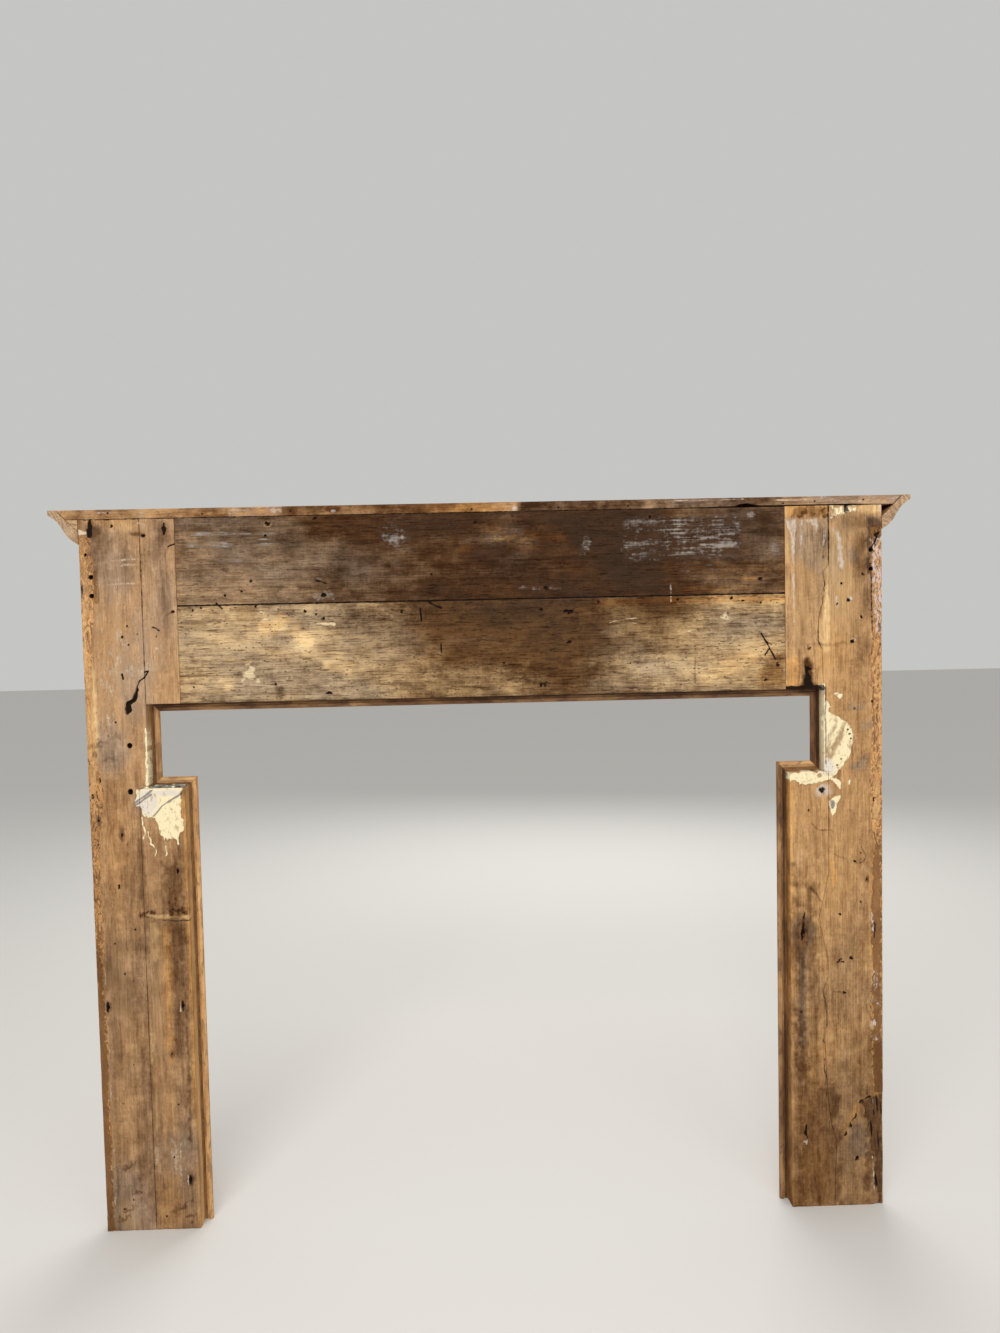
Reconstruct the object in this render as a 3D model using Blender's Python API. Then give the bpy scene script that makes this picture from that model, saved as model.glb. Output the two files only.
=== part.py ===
"""A stripped pine fireplace surround, seen in the photograph from behind.

Rough-sawn boards 27 mm thick make the two legs and the frieze. A shelf lies on their top
edges, a sprung cornice runs round it on three sides, and an eared architrave is planted on
the front face round the fire opening, with a lip that shows past the boards' edges.
Metres, Z up. X runs along the wall as seen from behind, the rear face looks along -Y and
the origin is on the floor, under the middle of the whole surround.
"""
import math

import bmesh
import bpy
from mathutils import Matrix, Vector

# The boards
BODY_WIDTH = 1.384
BODY_HEIGHT = 1.251
BOARD_THICKNESS = 0.027
FIT_GAP = 0.0003

# The opening in the boards: narrow up to the step, wider between the step and the head
FIRE_WIDTH = 1.056
EAR_WIDTH = 1.178
STEP_HEIGHT = 0.787
HEAD_HEIGHT = 0.933

# Widths of the boards beside the opening and height of the joint in the frieze
LEFT_INNER_WIDTH = 0.078
RIGHT_INNER_WIDTH = 0.069
LEFT_STILE_WIDTH = 0.060
RIGHT_STILE_WIDTH = 0.067
FRIEZE_JOINT_HEIGHT = 1.101

# The torn edge of the right stile: share of the frieze's height, distance from the ear's line
TORN_EDGE = (
    (0.0, 0.0), (0.22, -0.002), (0.26, -0.009), (0.38, -0.008), (0.48, 0.0),
    (0.52, -0.002), (0.57, 0.003), (0.64, 0.0), (0.68, 0.010), (1.0, 0.010),
)
# The split down the right leg: share of the step's height, distance from the joint's line
LEG_SPLIT = (
    (0.0, 0.008), (0.076, 0.009), (0.152, 0.012), (0.188, 0.003), (0.249, -0.003),
    (0.315, -0.006), (0.391, -0.009), (0.462, -0.004), (0.501, -0.012), (0.534, -0.001),
    (0.574, -0.003), (0.635, -0.013), (0.661, -0.019), (0.77, 0.0), (1.0, 0.0),
)

# The shelf and the cornice
SHELF_THICKNESS = 0.016
CORNICE_PROJECTION = 0.050
CORNICE_DROP = 0.042
CORNICE_SEAT = 0.021
CORNICE_NOSE = 0.008
CORNICE_SWELL = 0.003
CORNICE_STEPS = 12
GLUE_BLOCK_LENGTH = 0.025

# The architrave
ARCHITRAVE_WIDTH = 0.058
ARCHITRAVE_PROUD = 0.028
LIP = 0.015
LIP_THICKNESS = 0.008
LIP_GROOVE_WIDTH = 0.0075
LIP_GROOVE_DEPTH = 0.003
LIP_FLAT = 0.009
OGEE_WIDTH = 0.029
TOP_ROUND_WIDTH = 0.014
OUTER_EDGE = 0.018
OGEE_STEPS = 8
ROUND_STEPS = 6

# Screw holes in the rear face: side, distance in from the outer edge, height
SCREW_RADIUS = 0.004
SCREW_DEPTH = 0.018
SCREW_SIDES = 16
SCREWS_UNDER_SHELF = (
    (-1, 0.019, 0.098), (-1, 0.018, 0.130), (1, 0.020, 0.078), (1, 0.019, 0.111),
)
SCREWS_BY_STEP = ((-1, 0.073, 0.075), (-1, 0.071, -0.005))
CUTTER_PROUD = 0.002

# Places that follow from the sizes above
HALF_BODY = BODY_WIDTH / 2
HALF_FIRE = FIRE_WIDTH / 2
HALF_EAR = EAR_WIDTH / 2
REAR_FACE = -(BOARD_THICKNESS + CORNICE_PROJECTION) / 2
FRONT_FACE = REAR_FACE + BOARD_THICKNESS
SHELF_UNDERSIDE = BODY_HEIGHT + FIT_GAP
SHELF_TOP = SHELF_UNDERSIDE + SHELF_THICKNESS
CORNICE_FOOT = BODY_HEIGHT - CORNICE_DROP
CORNICE_RISE = SHELF_TOP - CORNICE_FOOT
LEFT_JOINT = -(HALF_FIRE + LEFT_INNER_WIDTH)
RIGHT_JOINT = HALF_FIRE + RIGHT_INNER_WIDTH
FRIEZE_LEFT = -HALF_EAR + LEFT_STILE_WIDTH
FRIEZE_RIGHT = HALF_EAR - RIGHT_STILE_WIDTH

OLD_PINE = (0.42, 0.27, 0.15, 1.0)
DARK_PINE = (0.20, 0.13, 0.08, 1.0)
OCHRE_PINE = (0.50, 0.30, 0.13, 1.0)
PALE_PINE = (0.62, 0.48, 0.32, 1.0)

SQUARE_END = 0


def clear_scene():
    """Remove the objects that the scene starts with."""
    for old in list(bpy.data.objects):
        bpy.data.objects.remove(old, do_unlink=True)


def new_collection(name):
    collection = bpy.data.collections.new(name)
    bpy.context.scene.collection.children.link(collection)
    return collection


def wood(name, colour, roughness):
    """A plain timber finish."""
    finish = bpy.data.materials.new(name)
    finish.use_nodes = True
    shader = finish.node_tree.nodes["Principled BSDF"]
    shader.inputs["Base Color"].default_value = colour
    shader.inputs["Roughness"].default_value = roughness
    shader.inputs["Metallic"].default_value = 0.0
    return finish


def extruded(name, outline, thickness):
    """A closed solid from a flat outline, centred on its own plane, as a mesh object."""
    curve = bpy.data.curves.new(name + "_outline", "CURVE")
    curve.dimensions = "2D"
    curve.fill_mode = "BOTH"
    curve.extrude = thickness / 2
    spline = curve.splines.new("POLY")
    spline.points.add(len(outline) - 1)
    for point, (across, up) in zip(spline.points, outline):
        point.co = (across, up, 0.0, 1.0)
    spline.use_cyclic_u = True
    drawn = bpy.data.objects.new(name + "_drawn", curve)
    bpy.context.scene.collection.objects.link(drawn)
    bpy.context.view_layer.update()
    drawn_now = drawn.evaluated_get(bpy.context.evaluated_depsgraph_get())
    mesh = bpy.data.meshes.new_from_object(drawn_now)
    mesh.name = name
    solid = bpy.data.objects.new(name, mesh)
    solid.matrix_world = drawn.matrix_world.copy()
    bpy.data.objects.remove(drawn, do_unlink=True)
    shape = bmesh.new()
    shape.from_mesh(mesh)
    bmesh.ops.remove_doubles(shape, verts=shape.verts, dist=0.00001)
    bmesh.ops.recalc_face_normals(shape, faces=shape.faces)
    shape.to_mesh(mesh)
    shape.free()
    return solid


def leave_collections(piece):
    """Take a newly added primitive out of whatever collection was active."""
    for holder in list(piece.users_collection):
        holder.objects.unlink(piece)


def finish_piece(piece, finish):
    """Give a piece its material, its collection and its place under the frame."""
    leave_collections(piece)
    piece.data.materials.clear()
    piece.data.materials.append(finish)
    surround.objects.link(piece)
    piece.parent = frame
    return piece


def board(name, outline, finish):
    """A board of the rear face, drawn across and up, as thick as the surround's boards."""
    piece = extruded(name, outline, BOARD_THICKNESS)
    piece.rotation_euler = (math.radians(90), 0.0, 0.0)
    piece.location = (0.0, (REAR_FACE + FRONT_FACE) / 2, 0.0)
    return finish_piece(piece, finish)


def upright_rectangle(left, right, low, high):
    return [(left, low), (right, low), (right, high), (left, high)]


def drifting_line(places, line, low, high, shift):
    """Points up a wandering edge that keeps its drift from a straight line."""
    return [(line + drift + shift, low + share * (high - low)) for share, drift in places]


def saw_end(shape, at, slope, side):
    """Saw one end of a moulding square, or along a mitre that climbs with the section."""
    cut_at = at - side * FIT_GAP / 2 * abs(slope)
    direction = Vector((-slope, 0.0, 1.0)).normalized() * side
    cut = bmesh.ops.bisect_plane(
        shape, geom=list(shape.verts) + list(shape.edges) + list(shape.faces),
        plane_co=(0.0, 0.0, cut_at), plane_no=direction, clear_outer=True)
    rim = [part for part in cut["geom_cut"] if isinstance(part, bmesh.types.BMEdge)]
    bmesh.ops.contextual_create(shape, geom=rim)


def moulding(name, section, corner, outward, rise, length, slopes, finish):
    """A length of moulding from a corner, along the cross product of outward and rise.

    The section gives the distance outward and the distance along rise. A slope of 1 or -1
    makes a mitre at that end and 0 a square end.
    """
    overrun = 2 * max(out for out, up in section)
    piece = extruded(name, section, length + 2 * overrun)
    shape = bmesh.new()
    shape.from_mesh(piece.data)
    saw_end(shape, -length / 2, slopes[0], -1)
    saw_end(shape, length / 2, slopes[1], 1)
    bmesh.ops.recalc_face_normals(shape, faces=shape.faces)
    shape.to_mesh(piece.data)
    shape.free()
    along = outward.cross(rise)
    turn = Matrix((outward, rise, along)).transposed()
    piece.rotation_euler = turn.to_euler()
    piece.location = corner + along * (length / 2)
    return finish_piece(piece, finish)


def cornice_section():
    """Sprung cornice: seat on the boards, cyma face, upright nose and a back at 45 degrees."""
    face_top = CORNICE_RISE - CORNICE_NOSE
    run = Vector((CORNICE_PROJECTION - FIT_GAP, face_top))
    normal = Vector((face_top, FIT_GAP - CORNICE_PROJECTION)).normalized()
    section = []
    for step in range(CORNICE_STEPS + 1):
        share = step / CORNICE_STEPS
        point = Vector((FIT_GAP, 0.0)) + run * share
        point += normal * CORNICE_SWELL * math.sin(2 * math.pi * share)
        section.append((point.x, point.y))
    section.append((CORNICE_PROJECTION, CORNICE_RISE))
    section.append((CORNICE_RISE - CORNICE_SEAT, CORNICE_RISE))
    section.append((FIT_GAP, CORNICE_SEAT + FIT_GAP))
    return section


def architrave_section():
    """Lip with a rounded nose and a groove behind, ogee, round top and upright outer edge."""
    nose = LIP_THICKNESS / 2
    groove_far = LIP - LIP_GROOVE_WIDTH / 8
    groove_near = groove_far - LIP_GROOVE_WIDTH
    section = [
        (ARCHITRAVE_WIDTH, FIT_GAP), (groove_far, FIT_GAP), (groove_far, LIP_GROOVE_DEPTH),
        (groove_near, LIP_GROOVE_DEPTH), (groove_near, FIT_GAP),
    ]
    for step in range(ROUND_STEPS + 1):
        turn = math.radians(270) - math.pi * step / ROUND_STEPS
        section.append((nose + nose * math.cos(turn), FIT_GAP + nose + nose * math.sin(turn)))
    ogee_start = LIP_FLAT
    ogee_foot = LIP_THICKNESS
    ogee_top = ARCHITRAVE_PROUD - TOP_ROUND_WIDTH / 5
    for step in range(OGEE_STEPS + 1):
        share = step / OGEE_STEPS
        climb = (1 - math.cos(math.pi * share)) / 2
        section.append((ogee_start + OGEE_WIDTH * share,
                        ogee_foot + (ogee_top - ogee_foot) * climb))
    round_start = ogee_start + OGEE_WIDTH
    for step in range(1, ROUND_STEPS + 1):
        share = step / ROUND_STEPS
        crown = math.sin(math.pi * share) * (ARCHITRAVE_PROUD - ogee_top)
        section.append((round_start + TOP_ROUND_WIDTH * share, ogee_top + crown))
    section.append((ARCHITRAVE_WIDTH, OUTER_EDGE))
    return section


def make_legs():
    """Outer boards run from floor to shelf, inner boards stop at the step."""
    left_outer = [
        (-HALF_BODY, 0.0), (LEFT_JOINT, 0.0), (LEFT_JOINT, STEP_HEIGHT),
        (-HALF_EAR, STEP_HEIGHT), (-HALF_EAR, BODY_HEIGHT), (-HALF_BODY, BODY_HEIGHT),
    ]
    board("jamb_board_outer_left", left_outer, old_pine)
    left_inner = upright_rectangle(
        LEFT_JOINT + FIT_GAP, -HALF_FIRE, 0.0, STEP_HEIGHT - FIT_GAP)
    board("jamb_board_inner_left", left_inner, old_pine)

    torn = drifting_line(TORN_EDGE, HALF_EAR, HEAD_HEIGHT, BODY_HEIGHT, 0.0)
    split = drifting_line(LEG_SPLIT, RIGHT_JOINT, 0.0, STEP_HEIGHT, 0.0)
    right_outer = [(HALF_BODY, 0.0), (HALF_BODY, BODY_HEIGHT)]
    right_outer += reversed(torn)
    right_outer.append((HALF_EAR, STEP_HEIGHT))
    right_outer += reversed(split)
    board("jamb_board_outer_right", right_outer, old_pine)
    right_inner = [(HALF_FIRE, 0.0)]
    right_inner += drifting_line(
        LEG_SPLIT, RIGHT_JOINT, 0.0, STEP_HEIGHT - FIT_GAP, -FIT_GAP)
    right_inner.append((HALF_FIRE, STEP_HEIGHT - FIT_GAP))
    board("jamb_board_inner_right", right_inner, old_pine)


def make_frieze():
    """Two long boards between two short upright ones."""
    left_stile = upright_rectangle(
        -HALF_EAR + FIT_GAP, FRIEZE_LEFT - FIT_GAP, HEAD_HEIGHT, BODY_HEIGHT)
    board("frieze_stile_left", left_stile, old_pine)
    right_stile = [(FRIEZE_RIGHT + FIT_GAP, BODY_HEIGHT), (FRIEZE_RIGHT + FIT_GAP, HEAD_HEIGHT)]
    right_stile += drifting_line(TORN_EDGE, HALF_EAR, HEAD_HEIGHT, BODY_HEIGHT, -FIT_GAP)
    board("frieze_stile_right", right_stile, old_pine)
    lower = upright_rectangle(
        FRIEZE_LEFT, FRIEZE_RIGHT, HEAD_HEIGHT, FRIEZE_JOINT_HEIGHT - FIT_GAP)
    board("frieze_board_lower", lower, dark_pine)
    upper = upright_rectangle(FRIEZE_LEFT, FRIEZE_RIGHT, FRIEZE_JOINT_HEIGHT, BODY_HEIGHT)
    board("frieze_board_upper", upper, dark_pine)


def shelf_reach(height):
    """How far past the boards the cornice lets the shelf come at a height."""
    return height - CORNICE_FOOT - CORNICE_SEAT - 2 * FIT_GAP


def make_shelf():
    """The shelf drops inside the cornice, so its ends and front are bevelled to the back of it."""
    lean = SHELF_THICKNESS
    half_top = HALF_BODY + shelf_reach(SHELF_TOP)
    front_top = FRONT_FACE + shelf_reach(SHELF_TOP)
    bpy.ops.mesh.primitive_cube_add(size=1.0)
    shelf = bpy.context.object
    shelf.name = "shelf_board"
    shelf.data.name = "shelf_board"
    for corner in shelf.data.vertices:
        underside = corner.co.z < 0
        side = math.copysign(1.0, corner.co.x)
        at_front = corner.co.y > 0
        inset = lean if underside else 0.0
        corner.co.x = side * (half_top - inset)
        corner.co.y = (front_top - inset if at_front else REAR_FACE) - REAR_FACE
        corner.co.z = 0.0 if underside else SHELF_THICKNESS
    shelf.location = (0.0, REAR_FACE, SHELF_UNDERSIDE)
    finish_piece(shelf, old_pine)


def make_cornice():
    """One long front length and two short returns, mitred at the front corners."""
    section = cornice_section()
    up = Vector((0, 0, 1))
    left = Vector((-HALF_BODY, FRONT_FACE, CORNICE_FOOT))
    right = Vector((HALF_BODY, FRONT_FACE, CORNICE_FOOT))
    left_rear = Vector((-HALF_BODY, REAR_FACE, CORNICE_FOOT))
    moulding("cornice_front", section, left, Vector((0, 1, 0)), up,
             BODY_WIDTH, (-1, 1), ochre_pine)
    moulding("cornice_return_right", section, right, Vector((1, 0, 0)), up,
             BOARD_THICKNESS, (-1, SQUARE_END), ochre_pine)
    moulding("cornice_return_left", section, left_rear, Vector((-1, 0, 0)), up,
             BOARD_THICKNESS, (SQUARE_END, 1), ochre_pine)


def make_glue_block():
    """The block glued into the corner under the shelf, behind the left return."""
    inner = -HALF_BODY - FIT_GAP
    top = BODY_HEIGHT - FIT_GAP
    leg = shelf_reach(SHELF_UNDERSIDE) - 3 * FIT_GAP
    corner = [(inner, top), (inner - leg, top), (inner, top - leg)]
    block = extruded("cornice_block_left", corner, GLUE_BLOCK_LENGTH)
    block.rotation_euler = (math.radians(90), 0.0, 0.0)
    block.location = (0.0, REAR_FACE + GLUE_BLOCK_LENGTH / 2, 0.0)
    finish_piece(block, pale_pine)


def make_architrave():
    """Seven mitred lengths that follow the eared opening, a lip's width inside the boards."""
    section = architrave_section()
    fire = HALF_FIRE - LIP
    ear = HALF_EAR - LIP
    step = STEP_HEIGHT + LIP
    head = HEAD_HEIGHT - LIP
    forward = Vector((0, 1, 0))
    right = Vector((1, 0, 0))
    up = Vector((0, 0, 1))
    lengths = (
        ("architrave_lower_right", (fire, 0.0), right, step, (SQUARE_END, -1)),
        ("architrave_step_right", (fire, step), -up, ear - fire, (1, 1)),
        ("architrave_upper_right", (ear, step), right, head - step, (-1, 1)),
        ("architrave_head", (ear, head), up, 2 * ear, (-1, 1)),
        ("architrave_upper_left", (-ear, head), -right, head - step, (-1, 1)),
        ("architrave_step_left", (-ear, step), -up, ear - fire, (-1, -1)),
        ("architrave_lower_left", (-fire, step), -right, step, (1, SQUARE_END)),
    )
    for name, (across, height), outward, length, slopes in lengths:
        corner = Vector((across, FRONT_FACE, height))
        moulding(name, section, corner, outward, forward, length, slopes, ochre_pine)


def drill(board_name, across, height):
    """Sink a screw hole into the rear face of a board."""
    target = bpy.data.objects[board_name]
    bpy.ops.mesh.primitive_cylinder_add(
        vertices=SCREW_SIDES, radius=SCREW_RADIUS, depth=SCREW_DEPTH + CUTTER_PROUD,
        rotation=(math.radians(90), 0.0, 0.0),
        location=(across, REAR_FACE + (SCREW_DEPTH - CUTTER_PROUD) / 2, height))
    cutter = bpy.context.object
    cutter.name = "screw_cutter"
    leave_collections(cutter)
    cutters.objects.link(cutter)
    cutter.hide_render = True
    cutter.display_type = "WIRE"
    hole = target.modifiers.new("screw_hole", "BOOLEAN")
    hole.operation = "DIFFERENCE"
    hole.solver = "EXACT"
    hole.object = cutter


def drill_screw_holes():
    boards = {-1: "jamb_board_outer_left", 1: "jamb_board_outer_right"}
    for side, inset, drop in SCREWS_UNDER_SHELF:
        drill(boards[side], side * (HALF_BODY - inset), BODY_HEIGHT - drop)
    for side, inset, above_step in SCREWS_BY_STEP:
        drill(boards[side], side * (HALF_BODY - inset), STEP_HEIGHT + above_step)


clear_scene()
surround = new_collection("fireplace_surround")
cutters = new_collection("cutters")
frame = bpy.data.objects.new("surround_frame", None)
surround.objects.link(frame)

old_pine = wood("old_pine", OLD_PINE, 0.75)
dark_pine = wood("dark_pine", DARK_PINE, 0.8)
ochre_pine = wood("ochre_pine", OCHRE_PINE, 0.65)
pale_pine = wood("pale_pine", PALE_PINE, 0.7)

make_legs()
make_frieze()
make_shelf()
make_cornice()
make_glue_block()
make_architrave()
drill_screw_holes()
bpy.context.view_layer.update()
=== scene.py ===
import math

import bmesh
import bpy
import numpy as np
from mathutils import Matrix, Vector


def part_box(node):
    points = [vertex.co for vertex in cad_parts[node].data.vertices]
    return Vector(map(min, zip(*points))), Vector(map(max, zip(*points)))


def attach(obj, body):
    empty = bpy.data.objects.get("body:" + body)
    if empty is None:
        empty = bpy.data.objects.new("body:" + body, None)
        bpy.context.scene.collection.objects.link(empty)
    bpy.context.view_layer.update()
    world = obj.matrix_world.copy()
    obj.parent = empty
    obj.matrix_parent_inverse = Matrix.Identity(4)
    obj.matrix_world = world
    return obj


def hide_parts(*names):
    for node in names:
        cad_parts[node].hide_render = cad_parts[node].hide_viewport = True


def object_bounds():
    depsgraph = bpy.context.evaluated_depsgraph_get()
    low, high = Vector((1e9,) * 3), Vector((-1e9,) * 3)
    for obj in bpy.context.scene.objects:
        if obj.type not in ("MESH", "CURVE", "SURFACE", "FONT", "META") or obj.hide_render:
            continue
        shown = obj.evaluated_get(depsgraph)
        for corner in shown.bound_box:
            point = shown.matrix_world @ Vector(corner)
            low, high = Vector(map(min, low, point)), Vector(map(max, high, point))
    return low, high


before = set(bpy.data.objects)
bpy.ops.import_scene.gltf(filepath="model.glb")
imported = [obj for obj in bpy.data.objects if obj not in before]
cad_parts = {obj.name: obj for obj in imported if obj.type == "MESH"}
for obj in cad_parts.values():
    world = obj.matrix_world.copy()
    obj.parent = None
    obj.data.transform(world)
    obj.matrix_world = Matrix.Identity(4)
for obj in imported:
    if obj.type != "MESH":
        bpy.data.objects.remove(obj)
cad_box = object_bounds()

# The left leg and its short stile: three rough pine boards, sawn and never planed behind.
# Their rear faces carry screw holes, a long S-shaped crack, nail stains, plaster at the
# step and a strip of old varnish and glue down the outer edge.
MM = 0.001
CELL = 0.0016
RECESS = 0.0008
EASED_ARRIS = 0.0008
# What a mark can add: soot and painted shade, chalky white, grey weathering, golden varnish,
# bared wood, black stain and painted shadow lines, plaster, the varnish strip and knots. Bend turns
# the grain, and sunk lowers the wood.
PAINTED = ("soot", "bleach", "grey", "honey", "fresh", "ink", "lime", "varnish", "knot", "bend")
CHANNELS = PAINTED + ("sunk",)
LATTICE = np.random.default_rng(1871).random((256, 256))


def drift(across, up, size, seed):
    """Smooth values from -1 to 1 that change over about this size."""
    u = np.asarray(across) / size + seed * 17.31
    v = np.asarray(up) / size + seed * 5.93
    i, j = np.floor(u).astype(int), np.floor(v).astype(int)
    a, b = u - i, v - j
    a, b = a * a * (3 - 2 * a), b * b * (3 - 2 * b)
    low = LATTICE[i % 256, j % 256] * (1 - a) + LATTICE[(i + 1) % 256, j % 256] * a
    high = LATTICE[i % 256, (j + 1) % 256] * (1 - a) + LATTICE[(i + 1) % 256, (j + 1) % 256] * a
    return 2 * (low * (1 - b) + high * b) - 1


def rough(across, up, size, seed, octaves=3):
    """Drift with finer and fainter drift added to it."""
    return sum(drift(across, up, size / 2 ** n, seed + n) / 2 ** n for n in range(octaves))


def around(canvas, points, reach=0):
    """The places of a board within reach of the rectangle round some points, in millimetres."""
    x, z = canvas["x"], canvas["z"]
    xs, zs = [p[0] for p in points], [p[1] for p in points]
    return np.flatnonzero((x > min(xs) - reach) & (x < max(xs) + reach)
                          & (z > min(zs) - reach) & (z < max(zs) + reach))


def lay(canvas, channel, near, cover):
    """Lay a mark over what is there; the stronger of the two shows."""
    canvas[channel][near] = np.maximum(canvas[channel][near], cover)


def spot(canvas, channel, across, up, wide, tall, strength=1.0, soft=1.2, shake=0.2, turn=0):
    """An oval mark with an uneven rim. Sizes are in millimetres, the turn in degrees."""
    a, b = wide / 2, tall / 2
    near = around(canvas, [(across, up)], max(a, b) * (1 + soft + shake) + 2)
    x, z = canvas["x"][near], canvas["z"][near]
    jolt = shake * min(a, b)
    dx = x + jolt * rough(x, z, max(min(a, b), 3), 3) - across
    dz = z + jolt * rough(x, z, max(min(a, b), 3), 9) - up
    c, s = math.cos(math.radians(turn)), math.sin(math.radians(turn))
    r = np.hypot((dx * c + dz * s) / a, (dz * c - dx * s) / b)
    lay(canvas, channel, near, strength * np.clip((1 + soft / 2 - r) / soft, 0, 1))


def from_line(x, z, start, end):
    """Each place's share of the way along a straight line, and its distance from it."""
    run_x, run_z = end[0] - start[0], end[1] - start[1]
    run = max(run_x ** 2 + run_z ** 2, 1e-9)
    share = np.clip(((x - start[0]) * run_x + (z - start[1]) * run_z) / run, 0, 1)
    return share, np.hypot(x - start[0] - share * run_x, z - start[1] - share * run_z)


def stroke(canvas, channel, points, width, strength=1.0, soft=3.0, shake=0.6):
    """A line through points, each with its own share of the width if it gives one."""
    near = around(canvas, points, width + soft + 4)
    x, z = canvas["x"][near], canvas["z"][near]
    x = x + shake * drift(x, z, 7, 21)
    z = z + shake * drift(x, z, 7, 22)
    best = np.full(len(near), -1e9)
    for start, end in zip(points, points[1:]):
        share, away = from_line(x, z, start, end)
        first, last = [(p + (1.0,))[2] for p in (start, end)]
        best = np.maximum(best, (first + (last - first) * share) * width / 2 - away)
    best = best + 0.2 * width * drift(x, z, 5, 23)
    lay(canvas, channel, near, strength * np.clip(0.5 + best / soft, 0, 1))


def inside(x, z, outline):
    """Distance in from an outline, negative outside it."""
    nearest = np.full(len(x), 1e9)
    within = np.zeros(len(x), bool)
    for (x0, z0), (x1, z1) in zip(outline, outline[1:] + outline[:1]):
        nearest = np.minimum(nearest, from_line(x, z, (x0, z0), (x1, z1))[1])
        if z0 != z1:
            within ^= ((z0 > z) != (z1 > z)) & (x < (x1 - x0) * (z - z0) / (z1 - z0) + x0)
    return np.where(within, nearest, -nearest)


def patch(canvas, channel, outline, strength=1.0, soft=8.0, shake=3.0):
    """A mark that fills an outline, with an uneven rim."""
    near = around(canvas, outline, soft + shake * 2 + 2)
    x, z = canvas["x"][near], canvas["z"][near]
    depth = inside(x, z, outline) + shake * rough(x, z, 9, 31)
    lay(canvas, channel, near, strength * np.clip(0.5 + depth / soft, 0, 1))
    return near


def hole(canvas, across, up, wide=4.0, tall=4.0, depth=4.0):
    """A nail or screw hole: black inside, sunk, its rim bruised unless a screw cut it clean."""
    strength, shake = (1.0, 0.08) if depth > 9 else (0.82, 0.8)
    spot(canvas, "ink", across, up, wide * 1.15, tall * 1.15, strength, 0.9, shake)
    near = around(canvas, [(across - wide, up - tall), (across + wide, up + tall)])
    r = np.hypot((canvas["x"][near] - across) * 2 / wide, (canvas["z"][near] - up) * 2 / tall)
    lay(canvas, "sunk", near, depth * np.clip((1.15 - r) / 0.35, 0, 1))


def crack(canvas, points, width=2.0, depth=1.5):
    """A split in the wood, dark and open."""
    stroke(canvas, "ink", points, width, 1.0, max(width, 2.4))
    stroke(canvas, "sunk", points, width, depth, 2.0)


def knot(canvas, across, up, wide, tall):
    """A knot, with the upright grain bent round it."""
    spot(canvas, "knot", across, up, wide, tall, 0.85, 1.0, 0.25)
    spot(canvas, "ink", across, up, wide * 0.35, tall * 0.4, 0.7, 1.0, 0.4)
    dx, dz = canvas["x"] - across, canvas["z"] - up
    canvas["bend"] += 0.75 * dx * np.exp(-((dx / wide) ** 2 + (dz / tall) ** 2) / 1.6)


def lay_marks(canvas, marks):
    """Lay a table of marks: for each kind of mark and its channel, a row for each place."""
    for (make, *channel), rows in marks.items():
        for row in rows:
            make(canvas, *channel, *row)


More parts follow.
